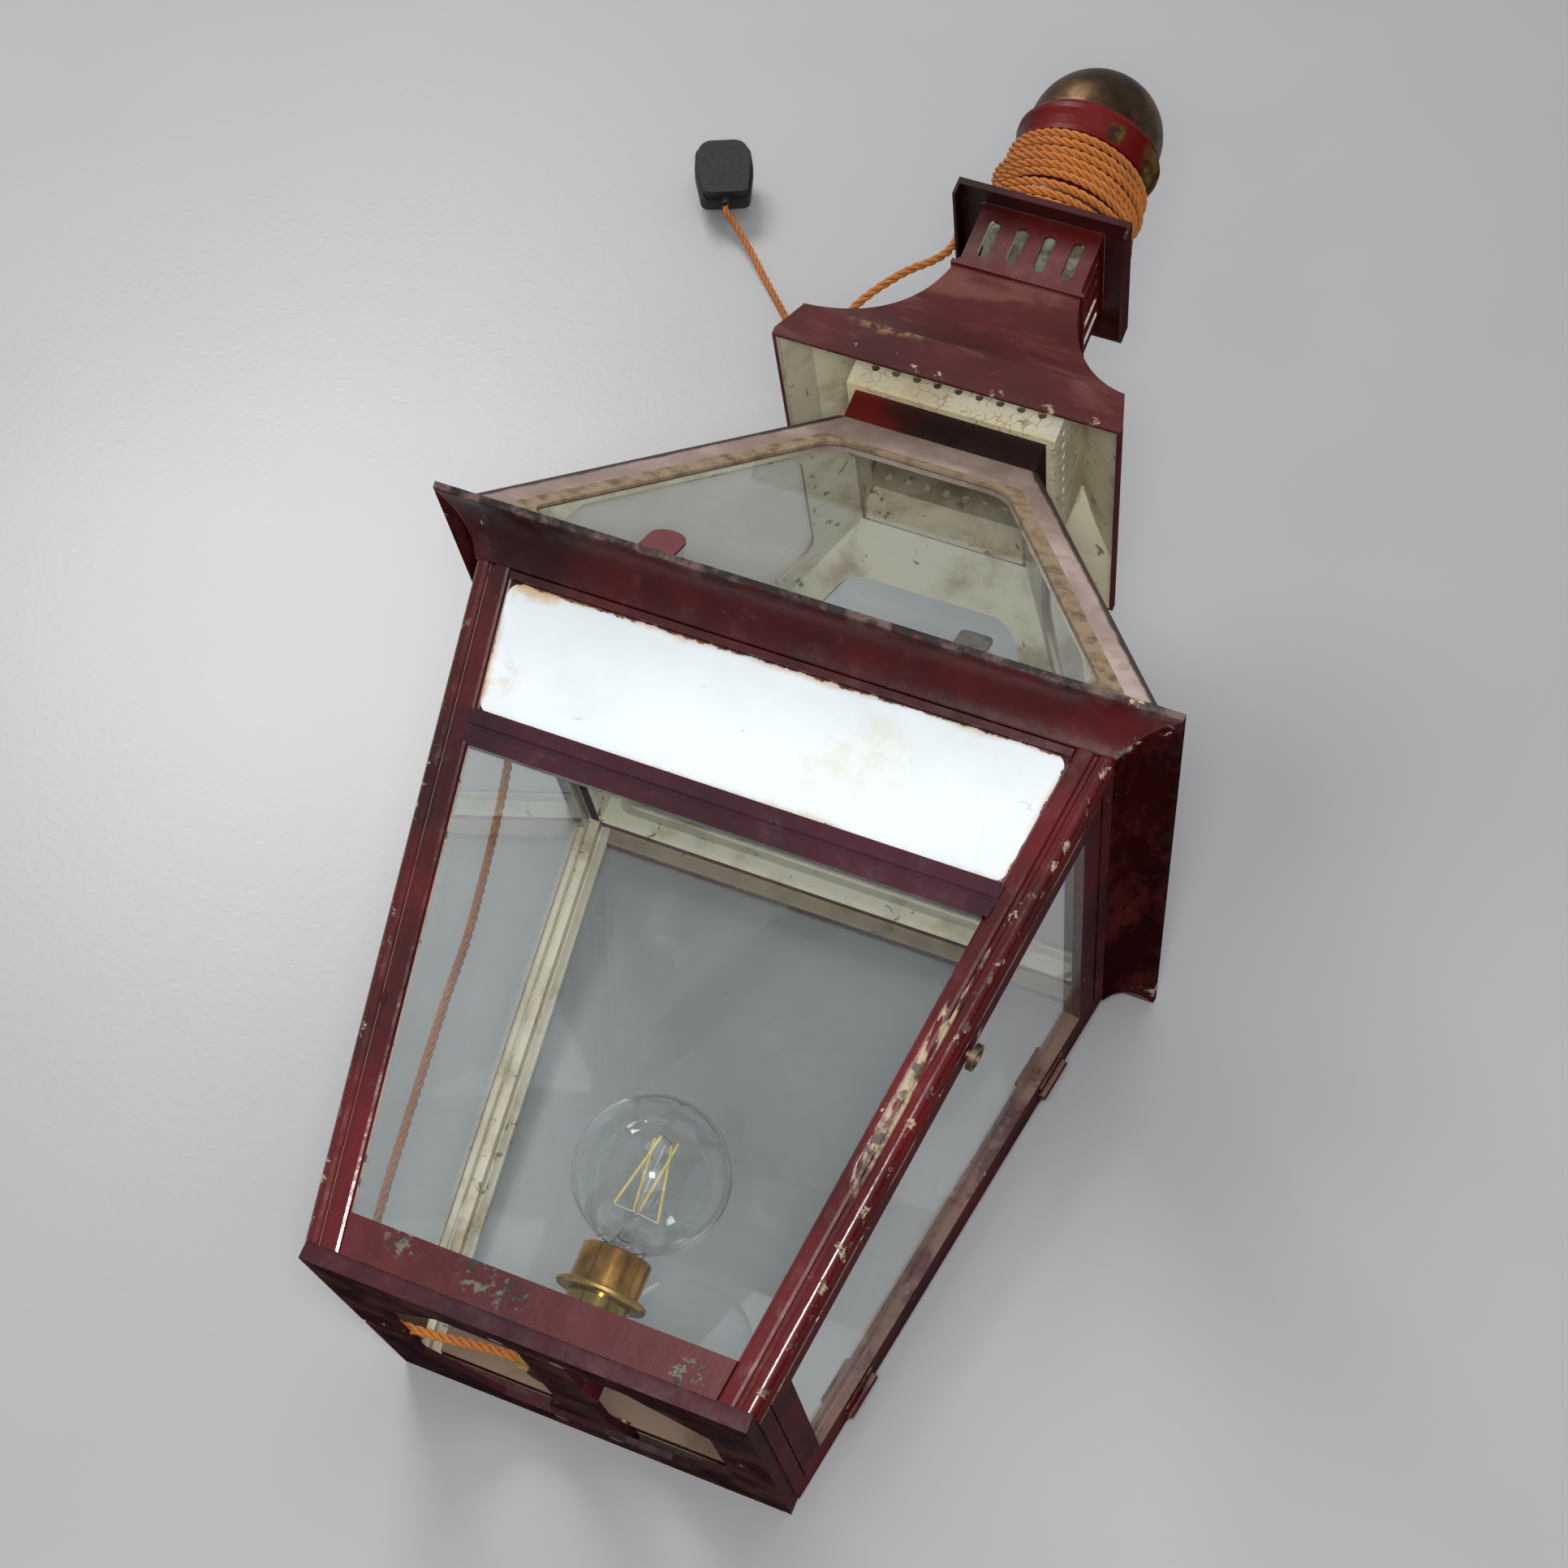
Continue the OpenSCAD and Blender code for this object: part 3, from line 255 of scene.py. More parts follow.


# Wear of single pieces, and the painted shade on the cornice's sides. Each takes the paint's
# colour and its mask of chips, and gives both back.

def long_chips(m, up, color, mask):
    """Long flakes down the post by the door."""
    x, _, z = m.split(up)
    half = m.math("MULTIPLY_ADD", z, SLOPE, BASE_HALF)
    d = m.math("SUBTRACT", half, x)
    near = m.math("MULTIPLY", m.step(d, 0.0085, 0.0105), m.step(d, 0.0180, 0.0155))
    high = m.math("MULTIPLY", m.step(z, 0.12, 0.15), m.step(z, 0.29, 0.26))
    flake = m.noise(60, 6, 0.62, vec=m.stretch(up, 1, 1, 0.14), distort=0.2)
    flake = m.math("MULTIPLY", m.step(flake, 0.515, 0.54), m.math("MULTIPLY", near, high))
    return color, m.math("MAXIMUM", mask, flake)


def dark_ledge(m, up, color, mask):
    """The cornice's thin upper edge is worn dark. Its sides are dull and painted dark as shade,
    streaked with dirt.
    """
    x, y, z = m.split(up)
    ragged = m.math("MULTIPLY_ADD", m.noise(60, 4), 0.004, z)
    top = m.step(ragged, CORNICE_Z - 0.0035, CORNICE_Z - 0.0015)
    rim = m.mix(m.step(m.noise(45, 6, 0.7), 0.45, 0.62), srgb(38, 31, 30), srgb(104, 84, 78))
    color = m.mix(top, color, rim)
    past = m.math("SUBTRACT", m.math("ABSOLUTE", x), m.math("ABSOLUTE", y))
    side = m.step(past, -0.001, 0.003)
    m.dull = side
    # Painted shade: the side faces are darkened to these near-black maroons, and the noise
    # streaks them.
    dirt = m.noise(30, 6, 0.7, vec=m.stretch(up, 1, 0.35, 1))
    wear_and_side_shade = m.mix(m.step(dirt, 0.46, 0.62), srgb(32, 11, 11), srgb(74, 30, 28))
    return m.mix(m.math("MULTIPLY", side, 0.85), color, wear_and_side_shade), mask


def rail_chips(m, up, color, mask):
    """Grey-green bare flecks along the front rail."""
    fleck = m.step(m.noise(210, 5, 0.7), 0.50, 0.54)
    for x, z, size in ((-0.0775, 0.0285, 0.014), (-0.034, 0.0255, 0.014),
                       (-0.014, 0.0225, 0.013), (0.092, 0.0165, 0.011)):
        group = m.spot(up, x, -0.134, z, size, 0.45, 60)
        mask = m.math("MAXIMUM", mask, m.math("MULTIPLY", fleck, group))
    return color, mask


def hip_edges(m, up, color, mask):
    """Blotches, and dark worn lines along the hips and round the foot of the roof."""
    x, y, z = m.split(up)
    past = m.math("SUBTRACT", m.math("ABSOLUTE", x), m.math("ABSOLUTE", y))
    wobble = m.math("MULTIPLY_ADD", m.noise(40, 5, 0.7), 0.006, -0.003)
    off = m.math("ADD", m.math("ABSOLUTE", past), wobble)
    line = m.step(off, 0.0055, 0.0025)
    foot = m.step(m.math("ADD", z, wobble), CORNICE_Z + 0.007, CORNICE_Z + 0.003)
    line = m.math("MAXIMUM", line, m.math("MULTIPLY", foot, 0.7))
    blot = m.math("MULTIPLY", m.step(m.noise(30, 7, 0.7), 0.48, 0.62), 0.55)
    color = m.mix(blot, color, srgb(134, 116, 100))
    return m.mix(line, color, srgb(50, 38, 37)), m.math("MULTIPLY", mask, 0.5)


def rubbed_cowl(m, up, color, mask):
    """Paint rubbed to tan in sweeps, one long smear, and chips along the rim's lower edge."""
    n = m.noise(13, 7, 0.68, vec=m.stretch(up, 0.5, 0.5, 1.6), distort=0.5)
    rubbed = m.math("MULTIPLY", m.step(n, 0.52, 0.68), 0.34)
    color = m.mix(rubbed, color, srgb(138, 92, 80))
    smear = m.spot(m.stretch(up, 0.3, 1, 1), -0.0140, -0.1110, 0.6690, 0.0110, 0.3, 120)
    tan = m.mix(m.step(m.noise(150, 5), 0.42, 0.58), srgb(140, 106, 74), srgb(62, 36, 30))
    color = m.mix(m.math("MULTIPLY", smear, 0.8), color, tan)
    fleck = m.step(m.noise(170, 5, 0.7), 0.5, 0.54)
    for x, size in ((-0.022, 0.0055), (-0.006, 0.0065), (0.034, 0.005), (0.066, 0.0055),
                    (0.096, 0.005)):
        group = m.spot(up, x, -0.114, 0.6365, size, 0.4, 90)
        mask = m.math("MAXIMUM", mask, m.math("MULTIPLY", fleck, group))
    return color, mask


def red_corner(m, up, color, mask):
    """The collar keeps its red paint towards the left of its front."""
    x = m.math("MULTIPLY_ADD", m.noise(30, 5, 0.6), 0.06, m.split(up)[0])
    return m.mix(m.step(x, 0.016, -0.016), color, srgb(92, 18, 14)), mask


def crazed(m, up, color, mask):
    """Thick old paint, crazed into small plates, yellower at its lip."""
    drift = m.node("TexNoise", {"Vector": up, "Scale": 60.0, "Detail": 4.0}).outputs[1]
    warp = m.vector("MULTIPLY_ADD", drift, (0.016, 0.016, 0.016), up)
    cell = m.node("TexVoronoi", {"Vector": warp, "Scale": 135.0},
                  feature="DISTANCE_TO_EDGE").outputs[0]
    here = m.step(m.noise(48, 5, 0.7), 0.42, 0.60)
    line = m.math("MULTIPLY", m.step(cell, 0.08, 0.0), here)
    z = m.math("MULTIPLY_ADD", m.noise(50, 4), 0.006, m.split(up)[2])
    lip = m.step(z, DEFLECTOR_Z + 0.007, DEFLECTOR_Z + 0.004)
    color = m.mix(m.math("MULTIPLY", lip, 0.55), color, srgb(240, 220, 168))
    return m.mix(m.math("MULTIPLY", line, 0.75), color, srgb(136, 122, 94)), mask


def band_patch(m, up, color, mask):
    """Olive-bronze wear on the band's right front."""
    large = m.spot(up, 0.050, -0.006, 0.905, 0.026, 0.35, 70)
    small = m.spot(up, 0.024, -0.046, 0.897, 0.009, 0.4, 120)
    bronze = m.mix(m.step(m.noise(90, 5), 0.42, 0.6), srgb(92, 74, 40), srgb(54, 36, 22))
    return m.mix(m.math("MAXIMUM", large, small), color, bronze), mask


def hood_ceiling(m, up, color, mask):
    """Grey-green paint under the hood where it closes the neck, seen through the slots."""
    x, y, _ = m.split(up)
    far = m.math("MAXIMUM", m.math("ABSOLUTE", x), m.math("ABSOLUTE", y))
    down = m.step(m.split(m.facing())[2], -0.6, -0.8)
    within = m.step(far, NECK_HALF + 0.0005, NECK_HALF - 0.0005)
    ceiling = m.math("MULTIPLY", down, within)
    pale = m.mix(m.step(m.noise(60, 5, 0.6), 0.42, 0.62), srgb(206, 212, 192),
                 srgb(138, 140, 118))
    kept = m.math("MULTIPLY", mask, m.math("SUBTRACT", 1.0, ceiling))
    return m.mix(ceiling, color, pale), kept


def foot_underside(m, up, color, mask):
    """The foot's flat face is matt, dark and dirty."""
    low = m.step(m.split(m.facing())[2], -0.6, -0.8)
    m.dull = m.math("MAXIMUM", m.dull, low)
    dirt = m.mix(m.step(m.noise(26, 6, 0.7), 0.4, 0.65), srgb(40, 30, 33), srgb(82, 58, 52))
    return m.mix(m.math("MULTIPLY", low, 0.8), color, dirt), mask


def metal(name, base, dark, rough=0.3, spots=0.4, scale=60, bump=0.15):
    """Metal with a fine tarnish and larger dark spots."""
    m = Mat(name)
    a = m.noise(scale, 6, 0.6)
    b = m.noise(scale * 0.2, 4, 0.6)
    color = m.mix(m.step(a, 0.45, 0.75), srgb(*base), srgb(*dark))
    color = m.mix(m.math("MULTIPLY", m.step(b, 0.45, 0.7), spots), color, srgb(*dark))
    r = m.math("MULTIPLY_ADD", a, 0.25, rough)
    return m.surface(color, r, m.bump(a, bump, 0.0005), metal=1.0)


def glass(name, color, haze, see=0.9, rough=0.02, dirt=0.25, bend=0.08):
    """Clear glass that lets light through, with a little dirt."""
    m = Mat(name)
    clear = m.principled(Base_Color=srgb(*color), Roughness=rough, Transmission_Weight=1.0,
                         IOR=1.45, Normal=m.bump(m.noise(7, 2, 0.4), bend, 0.004))
    film = m.principled(Base_Color=srgb(*haze), Roughness=0.55)
    through = m.node("BsdfTransparent", {"Color": (see, see, see, 1)})
    spot = m.math("MULTIPLY", m.step(m.noise(24, 7, 0.7), 0.5, 0.85), dirt)
    dirty = m.node("MixShader", {0: spot, 1: clear.outputs[0], 2: film.outputs[0]})
    path = m.node("LightPath").outputs
    light = m.math("MAXIMUM", path["Is Shadow Ray"], path["Is Diffuse Ray"])
    both = m.node("MixShader", {0: light, 1: dirty.outputs[0], 2: through.outputs[0]})
    m.t.links.new(both.outputs[0], m.out.inputs["Surface"])
    return m.m


def enamel_plate():
    """White enamel, rusted at its edges, with yellow stains. It bears no lettering."""
    m = Mat("enamel_plate")
    up = m.upright()
    x, _, z = m.split(up)
    half = m.math("MULTIPLY_ADD", z, SLOPE, BASE_HALF - 0.0225)
    dx = m.math("SUBTRACT", half, m.math("ABSOLUTE", x))
    dz = m.math("MINIMUM", m.math("SUBTRACT", z, PLATE_LOW), m.math("SUBTRACT", PLATE_HIGH, z))
    d = m.math("MINIMUM", dx, dz)
    eaten = m.math("MULTIPLY_ADD", m.noise(110, 6, 0.72), 0.0085, -0.0039)
    rust = m.step(m.math("SUBTRACT", eaten, d), -0.0003, 0.0006)
    glow = m.math("MULTIPLY_ADD", m.noise(34, 4), 0.014, -0.0055)
    halo = m.step(m.math("SUBTRACT", glow, d), -0.002, 0.003)
    color = m.mix(m.step(m.noise(14, 5, 0.6), 0.4, 0.75), srgb(232, 239, 242),
                  srgb(221, 229, 232))
    yellow = m.math("MAXIMUM", m.spot(up, -0.150, -0.190, 0.388, 0.020, 0.4, 60),
                    m.spot(up, -0.166, -0.182, 0.322, 0.016, 0.45, 60))
    rim = m.step(m.math("MULTIPLY_ADD", m.noise(70, 5, 0.65), 0.016, d), 0.0175, 0.008)
    yellow = m.math("MULTIPLY", m.math("MULTIPLY", yellow, rim), 0.75)
    color = m.mix(yellow, color, srgb(205, 155, 84))
    wash = m.math("MULTIPLY", m.spot(up, 0.060, -0.187, 0.345, 0.040, 0.3, 30),
                  m.step(m.noise(26, 6, 0.7), 0.42, 0.66))
    color = m.mix(m.math("MULTIPLY", wash, 0.4), color, srgb(205, 206, 160))
    streaky = m.math("MULTIPLY", m.spot(up, -0.158, -0.184, 0.334, 0.022, 0.3, 50),
                     m.step(m.noise(60, 6, 0.7), 0.45, 0.62))
    color = m.mix(m.math("MULTIPLY", streaky, 0.4), color, srgb(208, 186, 146))
    color = m.mix(m.math("MULTIPLY", halo, 0.5), color, srgb(196, 150, 88))
    scuff = m.step(m.noise(150, 5, 0.6, vec=m.stretch(up, 0.4, 1, 1)), 0.70, 0.74)
    color = m.mix(m.math("MULTIPLY", scuff, 0.3), color, srgb(150, 140, 120))
    iron = m.mix(m.step(m.noise(200, 4), 0.4, 0.6), srgb(116, 66, 34), srgb(66, 34, 20))
    color = m.mix(rust, color, iron)
    rough = m.math("MULTIPLY_ADD", rust, 0.55, 0.16)
    h = m.math("MULTIPLY_ADD", rust, -0.8, m.math("MULTIPLY", m.noise(20, 3), 0.5))
    return m.surface(color, rough, m.bump(h, 0.3, 0.001), Coat_Weight=0.4, Coat_Roughness=0.08)


def braid():
    """Twisted cotton-braided flex, woven along the UV map: u round, v along in metres."""
    m = Mat("braided_flex")
    carriers, along = 6.2832 * 6, 3600
    u, v, _ = m.split(m.coord.outputs["UV"])
    a = m.math("SINE", m.math("MULTIPLY_ADD", u, carriers, m.math("MULTIPLY", v, along)))
    b = m.math("SINE", m.math("MULTIPLY_ADD", u, carriers, m.math("MULTIPLY", v, -along)))
    weave = m.math("MAXIMUM", a, b)
    fibre = m.noise(900, 4, 0.7)
    # Painted highlight and shade: the weave's crests are a lighter orange and its gaps a darker
    # one.
    color = m.mix(m.step(weave, -0.2, 0.9), srgb(140, 72, 20), srgb(222, 134, 50))
    fuzz = m.math("MULTIPLY", m.step(fibre, 0.4, 0.75), 0.45)
    color = m.mix(fuzz, color, srgb(232, 150, 66))
    grime = m.math("MULTIPLY", m.step(m.noise(16, 3), 0.4, 0.7), 0.35)
    color = m.mix(grime, color, srgb(142, 70, 20))
    h = m.math("MULTIPLY_ADD", fibre, 0.5, weave)
    return m.surface(color, 0.72, m.bump(h, 0.5, 0.0005), Sheen_Weight=0.06, Sheen_Roughness=0.4)


def plain(name, base, dark, rough=0.5, scale=80, bump=0.2, depth=0.0006, **extra):
    """Two shades and a grain."""
    m = Mat(name)
    a = m.noise(scale, 6, 0.65)
    color = m.mix(m.step(a, 0.4, 0.7), srgb(*base), srgb(*dark))
    return m.surface(color, m.math("MULTIPLY_ADD", a, 0.2, rough), m.bump(a, bump, depth),
                     **extra)


def holder():
    """Orange lacquered sleeve over a greener brass body."""
    m = Mat("holder_brass")
    z = m.split(m.upright())[2]
    a = m.noise(40, 5, 0.6)
    top = m.mix(m.step(a, 0.4, 0.7), srgb(226, 170, 82), srgb(146, 98, 40))
    low = m.mix(m.step(a, 0.4, 0.7), srgb(176, 152, 84), srgb(132, 108, 52))
    color = m.mix(m.step(z, HOLDER_STEP - 0.001, HOLDER_STEP + 0.001), low, top)
    return m.surface(color, m.math("MULTIPLY_ADD", a, 0.1, 0.1), m.bump(a, 0.05, 0.0005),
                     metal=1.0)


MAROON = ((88, 21, 24), (44, 11, 14))
POST_RED = ((98, 20, 21), (46, 9, 11))

maroon = paint("maroon", *MAROON, coat=0.15)
band_rail = paint("band_rail", *MAROON, coat=0.15, tint=(184, 170, 140))
maroon_dark = paint("maroon_dark", (66, 22, 35), (38, 12, 21), rough=0.16, chips=0.4,
                    inside=False, coat=0.4)
rail_paint = paint("rail_paint", (88, 29, 33), (64, 20, 24), rough=0.36, chips=1.0, matte=0.06,
                   coat=0.05, bare=(104, 102, 88), dust=(104, 62, 60), tint=(124, 104, 86),
                   shine=0.35, extra=rail_chips)
post_paint = paint("post_paint", *POST_RED, rough=0.14, chips=0.8, coat=0.35, flake=80)
post_chipped = paint("post_chipped", *POST_RED, rough=0.14, chips=0.9, coat=0.35, flake=80,
                     extra=long_chips, bare=(178, 158, 132))
door_paint = paint("door_paint", (84, 21, 23), (46, 12, 15), rough=0.18, chips=0.8, coat=0.3,
                   inside=False, right=True)
cornice_paint = paint("cornice_paint", (84, 18, 20), (40, 10, 12), rough=0.3, chips=0.6,
                      extra=dark_ledge, coat=0.06, shine=0.3)
board_paint = paint("board_paint", (98, 26, 27), (56, 14, 17), rough=0.25, chips=0.2)
base_paint = paint("base_paint", (72, 22, 29), (38, 15, 21), rough=0.25, chips=0.9,
                   inside=False, dust=(92, 66, 62), extra=foot_underside, bare=(132, 104, 86),
                   coat=0.15)
roof_paint = paint("roof_paint", (184, 164, 156), (132, 110, 102), rough=0.42, chips=0.9,
                   matte=0.08, dust=(140, 114, 104), edge=False, tint=(214, 212, 190),
                   coat=0.05, extra=hip_edges, bare=(104, 84, 78))
clip_paint = paint("clip_paint", (118, 42, 42), (84, 28, 30), rough=0.4, chips=0.3,
                   inside=False, edge=False)
collar_paint = paint("collar_paint", (40, 20, 19), (22, 15, 14), rough=0.4, chips=0.4,
                     edge=False, coat=0.05, shine=0.25, dust=(60, 46, 42), extra=red_corner)
# Its inward faces take a darker cream (the tint) than its outside: painted shade inside the box
# behind its vents.
deflector_paint = paint("deflector_paint", (246, 241, 222), (206, 194, 162), rough=0.5,
                        chips=0.9, dust=(168, 146, 108), edge=False, coat=0.0,
                        bare=(110, 86, 60), tint=(176, 168, 146), extra=crazed)
cowl_paint = paint("cowl_paint", (84, 29, 29), (62, 21, 22), rough=0.5, chips=0.3, matte=0.08,
                   edge=False, tint=(216, 210, 186), coat=0.0, extra=rubbed_cowl,
                   dust=(106, 66, 60), shine=0.2)
neck_paint = paint("neck_paint", (88, 16, 16), (56, 11, 12), rough=0.3, chips=0.4, edge=False,
                   tint=(238, 238, 222), coat=0.15)
hood_paint = paint("hood_paint", (62, 17, 16), (30, 12, 11), rough=0.4, chips=0.9,
                   inside=False, edge=False, coat=0.04, shine=0.2, dust=(92, 56, 50),
                   extra=hood_ceiling)
band_paint = paint("band_paint", (98, 18, 16), (54, 11, 12), rough=0.34, chips=0.3,
                   inside=False, edge=False, extra=band_patch, coat=0.0, shine=0.14)

putty = plain("putty", (142, 122, 96), (94, 72, 50), 0.7, 90, 0.7, 0.002)
window = glass("window_glass", (240, 244, 244), (190, 190, 182), 0.95, 0.01, 0.07)
opal = plain("opal_glass", (250, 249, 241), (238, 236, 226), 0.35, 12, 0.1,
             Transmission_Weight=0.3)
bulb_glass = glass("bulb_glass", (250, 252, 252), (220, 220, 215), 0.97, 0.0, 0.03, 0.02)
brass = metal("lamp_brass", (204, 168, 92), (150, 112, 52), 0.18, 0.3, 40, 0.05)
dull_brass = metal("dull_brass", (128, 108, 88), (70, 56, 46), 0.38, 0.5)
steel = metal("dark_steel", (96, 88, 82), (52, 44, 40), 0.4, 0.5)
copper = metal("copper", (102, 80, 58), (44, 32, 24), 0.3, 0.9, 52, 0.35)
cap_metal = metal("cap_metal", (205, 203, 198), (150, 146, 140), 0.25, 0.2)
plug_brass = metal("plug_brass", (206, 170, 102), (150, 112, 60), 0.22, 0.2)
grey_metal = metal("grey_metal", (140, 138, 134), (90, 86, 80), 0.4, 0.5)
filament = plain("filament_yellow", (236, 216, 132), (214, 190, 96), 0.4, 200)
black = plain("black_plug", (17, 16, 15), (11, 10, 10), 0.55, 260, 0.25, 0.0004)
flex_mat = braid()

looks = {
    "base_frame": base_paint, "cross_bar": base_paint, "base_screws": dull_brass,
    "rail_front": rail_paint, "rail_left": rail_paint, "rail_rear": rail_paint,
    "door_sill": door_paint, "door_frame": door_paint, "post_rear_right": door_paint,
    "top_rail_right": door_paint, "hinge_post_leaves": door_paint,
    "hinge_door_leaves": door_paint, "hinge_pins": steel, "latch_knob": dull_brass,
    "latch_tongue": steel, "top_rail_rear": band_rail, "post_front_right": post_chipped,
    "cornice": cornice_paint, "plate_rail": maroon_dark, "sign_board": board_paint,
    "name_plate": enamel_plate(), "roof_frame": roof_paint, "roof_putty": putty,
    "roof_pane_left": opal, "clip_left": clip_paint, "clip_right": grey_metal,
    "throat_collar": collar_paint, "deflector_box": deflector_paint, "cowl": cowl_paint,
    "slotted_neck": neck_paint, "hood": hood_paint, "neck_drum": neck_paint,
    "neck_band": band_paint, "dome_cap": copper, "lampholder": holder(), "shade_ring": brass,
    "entry_nipple": brass, "bulb_glass": bulb_glass, "bulb_stem": bulb_glass,
    "bulb_cap": cap_metal, "filaments": filament, "filament_wires": cap_metal,
    "flex_lower": flex_mat, "flex_winding": flex_mat, "flex_tail": flex_mat,
    "plug_body": black, "plug_pins": plug_brass,
}
for name, obj in nodes.items():
    if name in looks:
        mat = looks[name]
    elif "pane" in name:
        mat = window
    elif name.startswith("post"):
        mat = post_paint
    else:
        mat = maroon
    obj.data.materials.clear()
    obj.data.materials.append(mat)


# Flex: the route of part.scad, in metres

def spline_pts(p, steps):
    """A Catmull-Rom curve through the points, with so many steps between two of them."""
    out = []
    for i in range(len(p) - 1):
        p0, p1, p2, p3 = p[max(i - 1, 0)], p[i], p[i + 1], p[min(i + 2, len(p) - 1)]
        for k in range(steps):
            t = k / steps
            out.append(0.5 * (2 * p1 + (p2 - p0) * t + (2 * p0 - 5 * p1 + 4 * p2 - p3) * t * t
                              + (3 * p1 - p0 - 3 * p2 + p3) * t ** 3))
    out.append(p[-1])
    return out


def metres(points):
    """Points in millimetres, as vectors in metres."""
    return [Vector(p) / 1000 for p in points]


FLEX_R = FLEX_D / 2
SPLINE_STEPS = 6
TURNS = 8.75
TURN_POINTS = 48
TURN_STEP = 360 / TURN_POINTS
OFF_DRUM, OFF_RIM = 0.0001, 0.0004
WIND_R = (DRUM_R + FLEX_R) / math.cos(math.radians(TURN_STEP)) + OFF_DRUM
WIND_HIGH = BAND_Z - FLEX_R - OFF_RIM
WIND_LOW = HOOD_Z + FLEX_R + OFF_RIM
WIND_PITCH = (WIND_HIGH - WIND_LOW) / TURNS


def round_drum(r, deg, z):
    """A point so far round the drum from its left, at this radius and height."""
    a = math.radians(180 + deg)
    return Vector((r * math.cos(a), r * math.sin(a), z))


def wind_z(deg):
    """Height of an even winding so far round."""
    return WIND_HIGH - WIND_PITCH * deg / 360


def wind_dir(deg):
    """The way the winding runs so far round."""
    a = math.radians(180 + deg)
    return Vector((-math.sin(a), math.cos(a), 0))


END = 360 * TURNS
wind_start = round_drum(WIND_R, 0, wind_z(0)) - FLEX_D * wind_dir(0)
wind_end = round_drum(WIND_R, END, wind_z(END)) + FLEX_D * wind_dir(END)

# From the entry nipple out of the foot, up outside the left wall and behind the head
LOWER_MM = [
    (-30.4, 0, 10), (-30.4 - FLEX_D * 1000, 0, 10), (-52, 4.5, 9.4), (-76, 13, 7.4),
    (-100, 17.6, 5.8), (-114, 18, 5.3), (-126, 18, 5.3), (-134, 18, 6.4), (-140.2, 18, 10.8),
    (-143.4, 17.4, 18), (-145.2, 16.4, 30), (-149.4, 15, 56), (-157, 18, 100),
    (-178, 42, 200), (-188, 56, 250), (-200, 65, 300), (-212, 69, 350), (-223, 71, 390),
    (-227, 72, 408), (-226.6, 72, 422), (-218, 71, 442), (-190, 68, 490), (-150, 60, 560),
    (-124, 50, 618), (-119.5, 46, 640), (-121, 42, 662), (-124, 36, 690), (-124, 30, 720),
    (-114, 22, 755), (-92, 15, 784), (-72, 12, 802), (-65.5, 13, 816), (-66, 16, 834),
    (-66, 22, 852), (-62.5, 26.5, 869), (-56, 22.5, 881)]
ONTO_DRUM_MM = [(-3.2, 9.5, 0.3), (-0.25, 3, 0.05), (0, 0.2, 0)]
lower = metres(LOWER_MM) + [wind_start + p for p in metres(ONTO_DRUM_MM)]
lower = spline_pts([laid(p) for p in lower], SPLINE_STEPS)

# How far the turns wander and lift, and the points over which that begins and ends
WANDER, LIFT, MOST_LIFT = 0.0052, 0.0048, 0.0075
EASE_POINTS = 20
# Turns nearer than this are pushed apart, by this share at a time, in so many rounds
APART, PUSH, ROUNDS = 0.0061, 0.35, 80


def loosened():
    """The winding as a hand leaves it: turns wander and ride over one another.

    The turns start from noise, and are pushed apart and smoothed until none runs through
    another.
    """
    n = int(round(TURNS * TURN_POINTS)) + 1
    r, z = [], []
    for k in range(n):
        ease = min(1, k / EASE_POINTS, (n - 1 - k) / EASE_POINTS)
        wander = noise.noise(Vector((k / 17, 3.7, 0.2)))
        lift = max(0, noise.noise(Vector((k / 34, 9.1, 5.3))) * 1.8 - 0.1)
        z.append(wind_z(k * TURN_STEP) + ease * WANDER * wander)
        r.append(WIND_R + ease * LIFT * min(1, lift))
    for _ in range(ROUNDS):
        for k in range(n):
            for j in range(k + TURN_POINTS, min(k + 3 * TURN_POINTS + 1, n), TURN_POINTS):
                dr, dz = r[j] - r[k], z[j] - z[k]
                d = math.hypot(dr, dz) or 1e-6
                if d < APART:
                    push = (APART - d) * PUSH / d
                    r[k] -= dr * push
                    r[j] += dr * push
                    z[k] -= dz * push
                    z[j] += dz * push
        for v in (r, z):
            w = v[:]
            for k in range(3, n - 3):
                v[k] = w[k] * 0.6 + (w[k - 1] + w[k + 1]) * 0.2
        for k in range(n):
            z[k] = min(WIND_HIGH, max(WIND_LOW, z[k]))
            r[k] = min(WIND_R + MOST_LIFT, max(WIND_R, r[k]))
    turns = [round_drum(r[k], k * TURN_STEP, z[k]) for k in range(n)]
    return [laid(p) for p in [wind_start] + turns + [wind_end]]


# Off the drum, down behind the cowl and over the floor to the plug
LEAVE = 0.0002
leave = wind_end + LEAVE * wind_dir(END)
DROP_MM = [(-20, 54, 828), (-29, 66, 826), (-33, 84, 819), (-35, 120, 810), (-37, 180, 797),
           (-40, 240, 784)]
drop = [leave, leave + FLEX_D * wind_dir(END)] + metres(DROP_MM)
FLOOR_MM = [(-46, 766, 17), (-60, 752, 5), (-82, 742, 3.2), (-112, 746, 3.2), (-140, 772, 3.2),
            (-168, 812, 3.2), (-200, 862, 3.2), (-234, 908, 3.2), (-265, 942, 3.2),
            (-290, 968, 4), (-318, 996, 9), (-340, 1014, 15.5)]
FLOOR_OFF = FOOT_Y - MID_Y
PLUG_AT = Vector((-0.3675, 1.058 + FLOOR_OFF, 0))
PLUG_TURN, PLUG_TILT, PLUG_UP = math.radians(25.6), math.atan(5 / 22.2), 0.0212
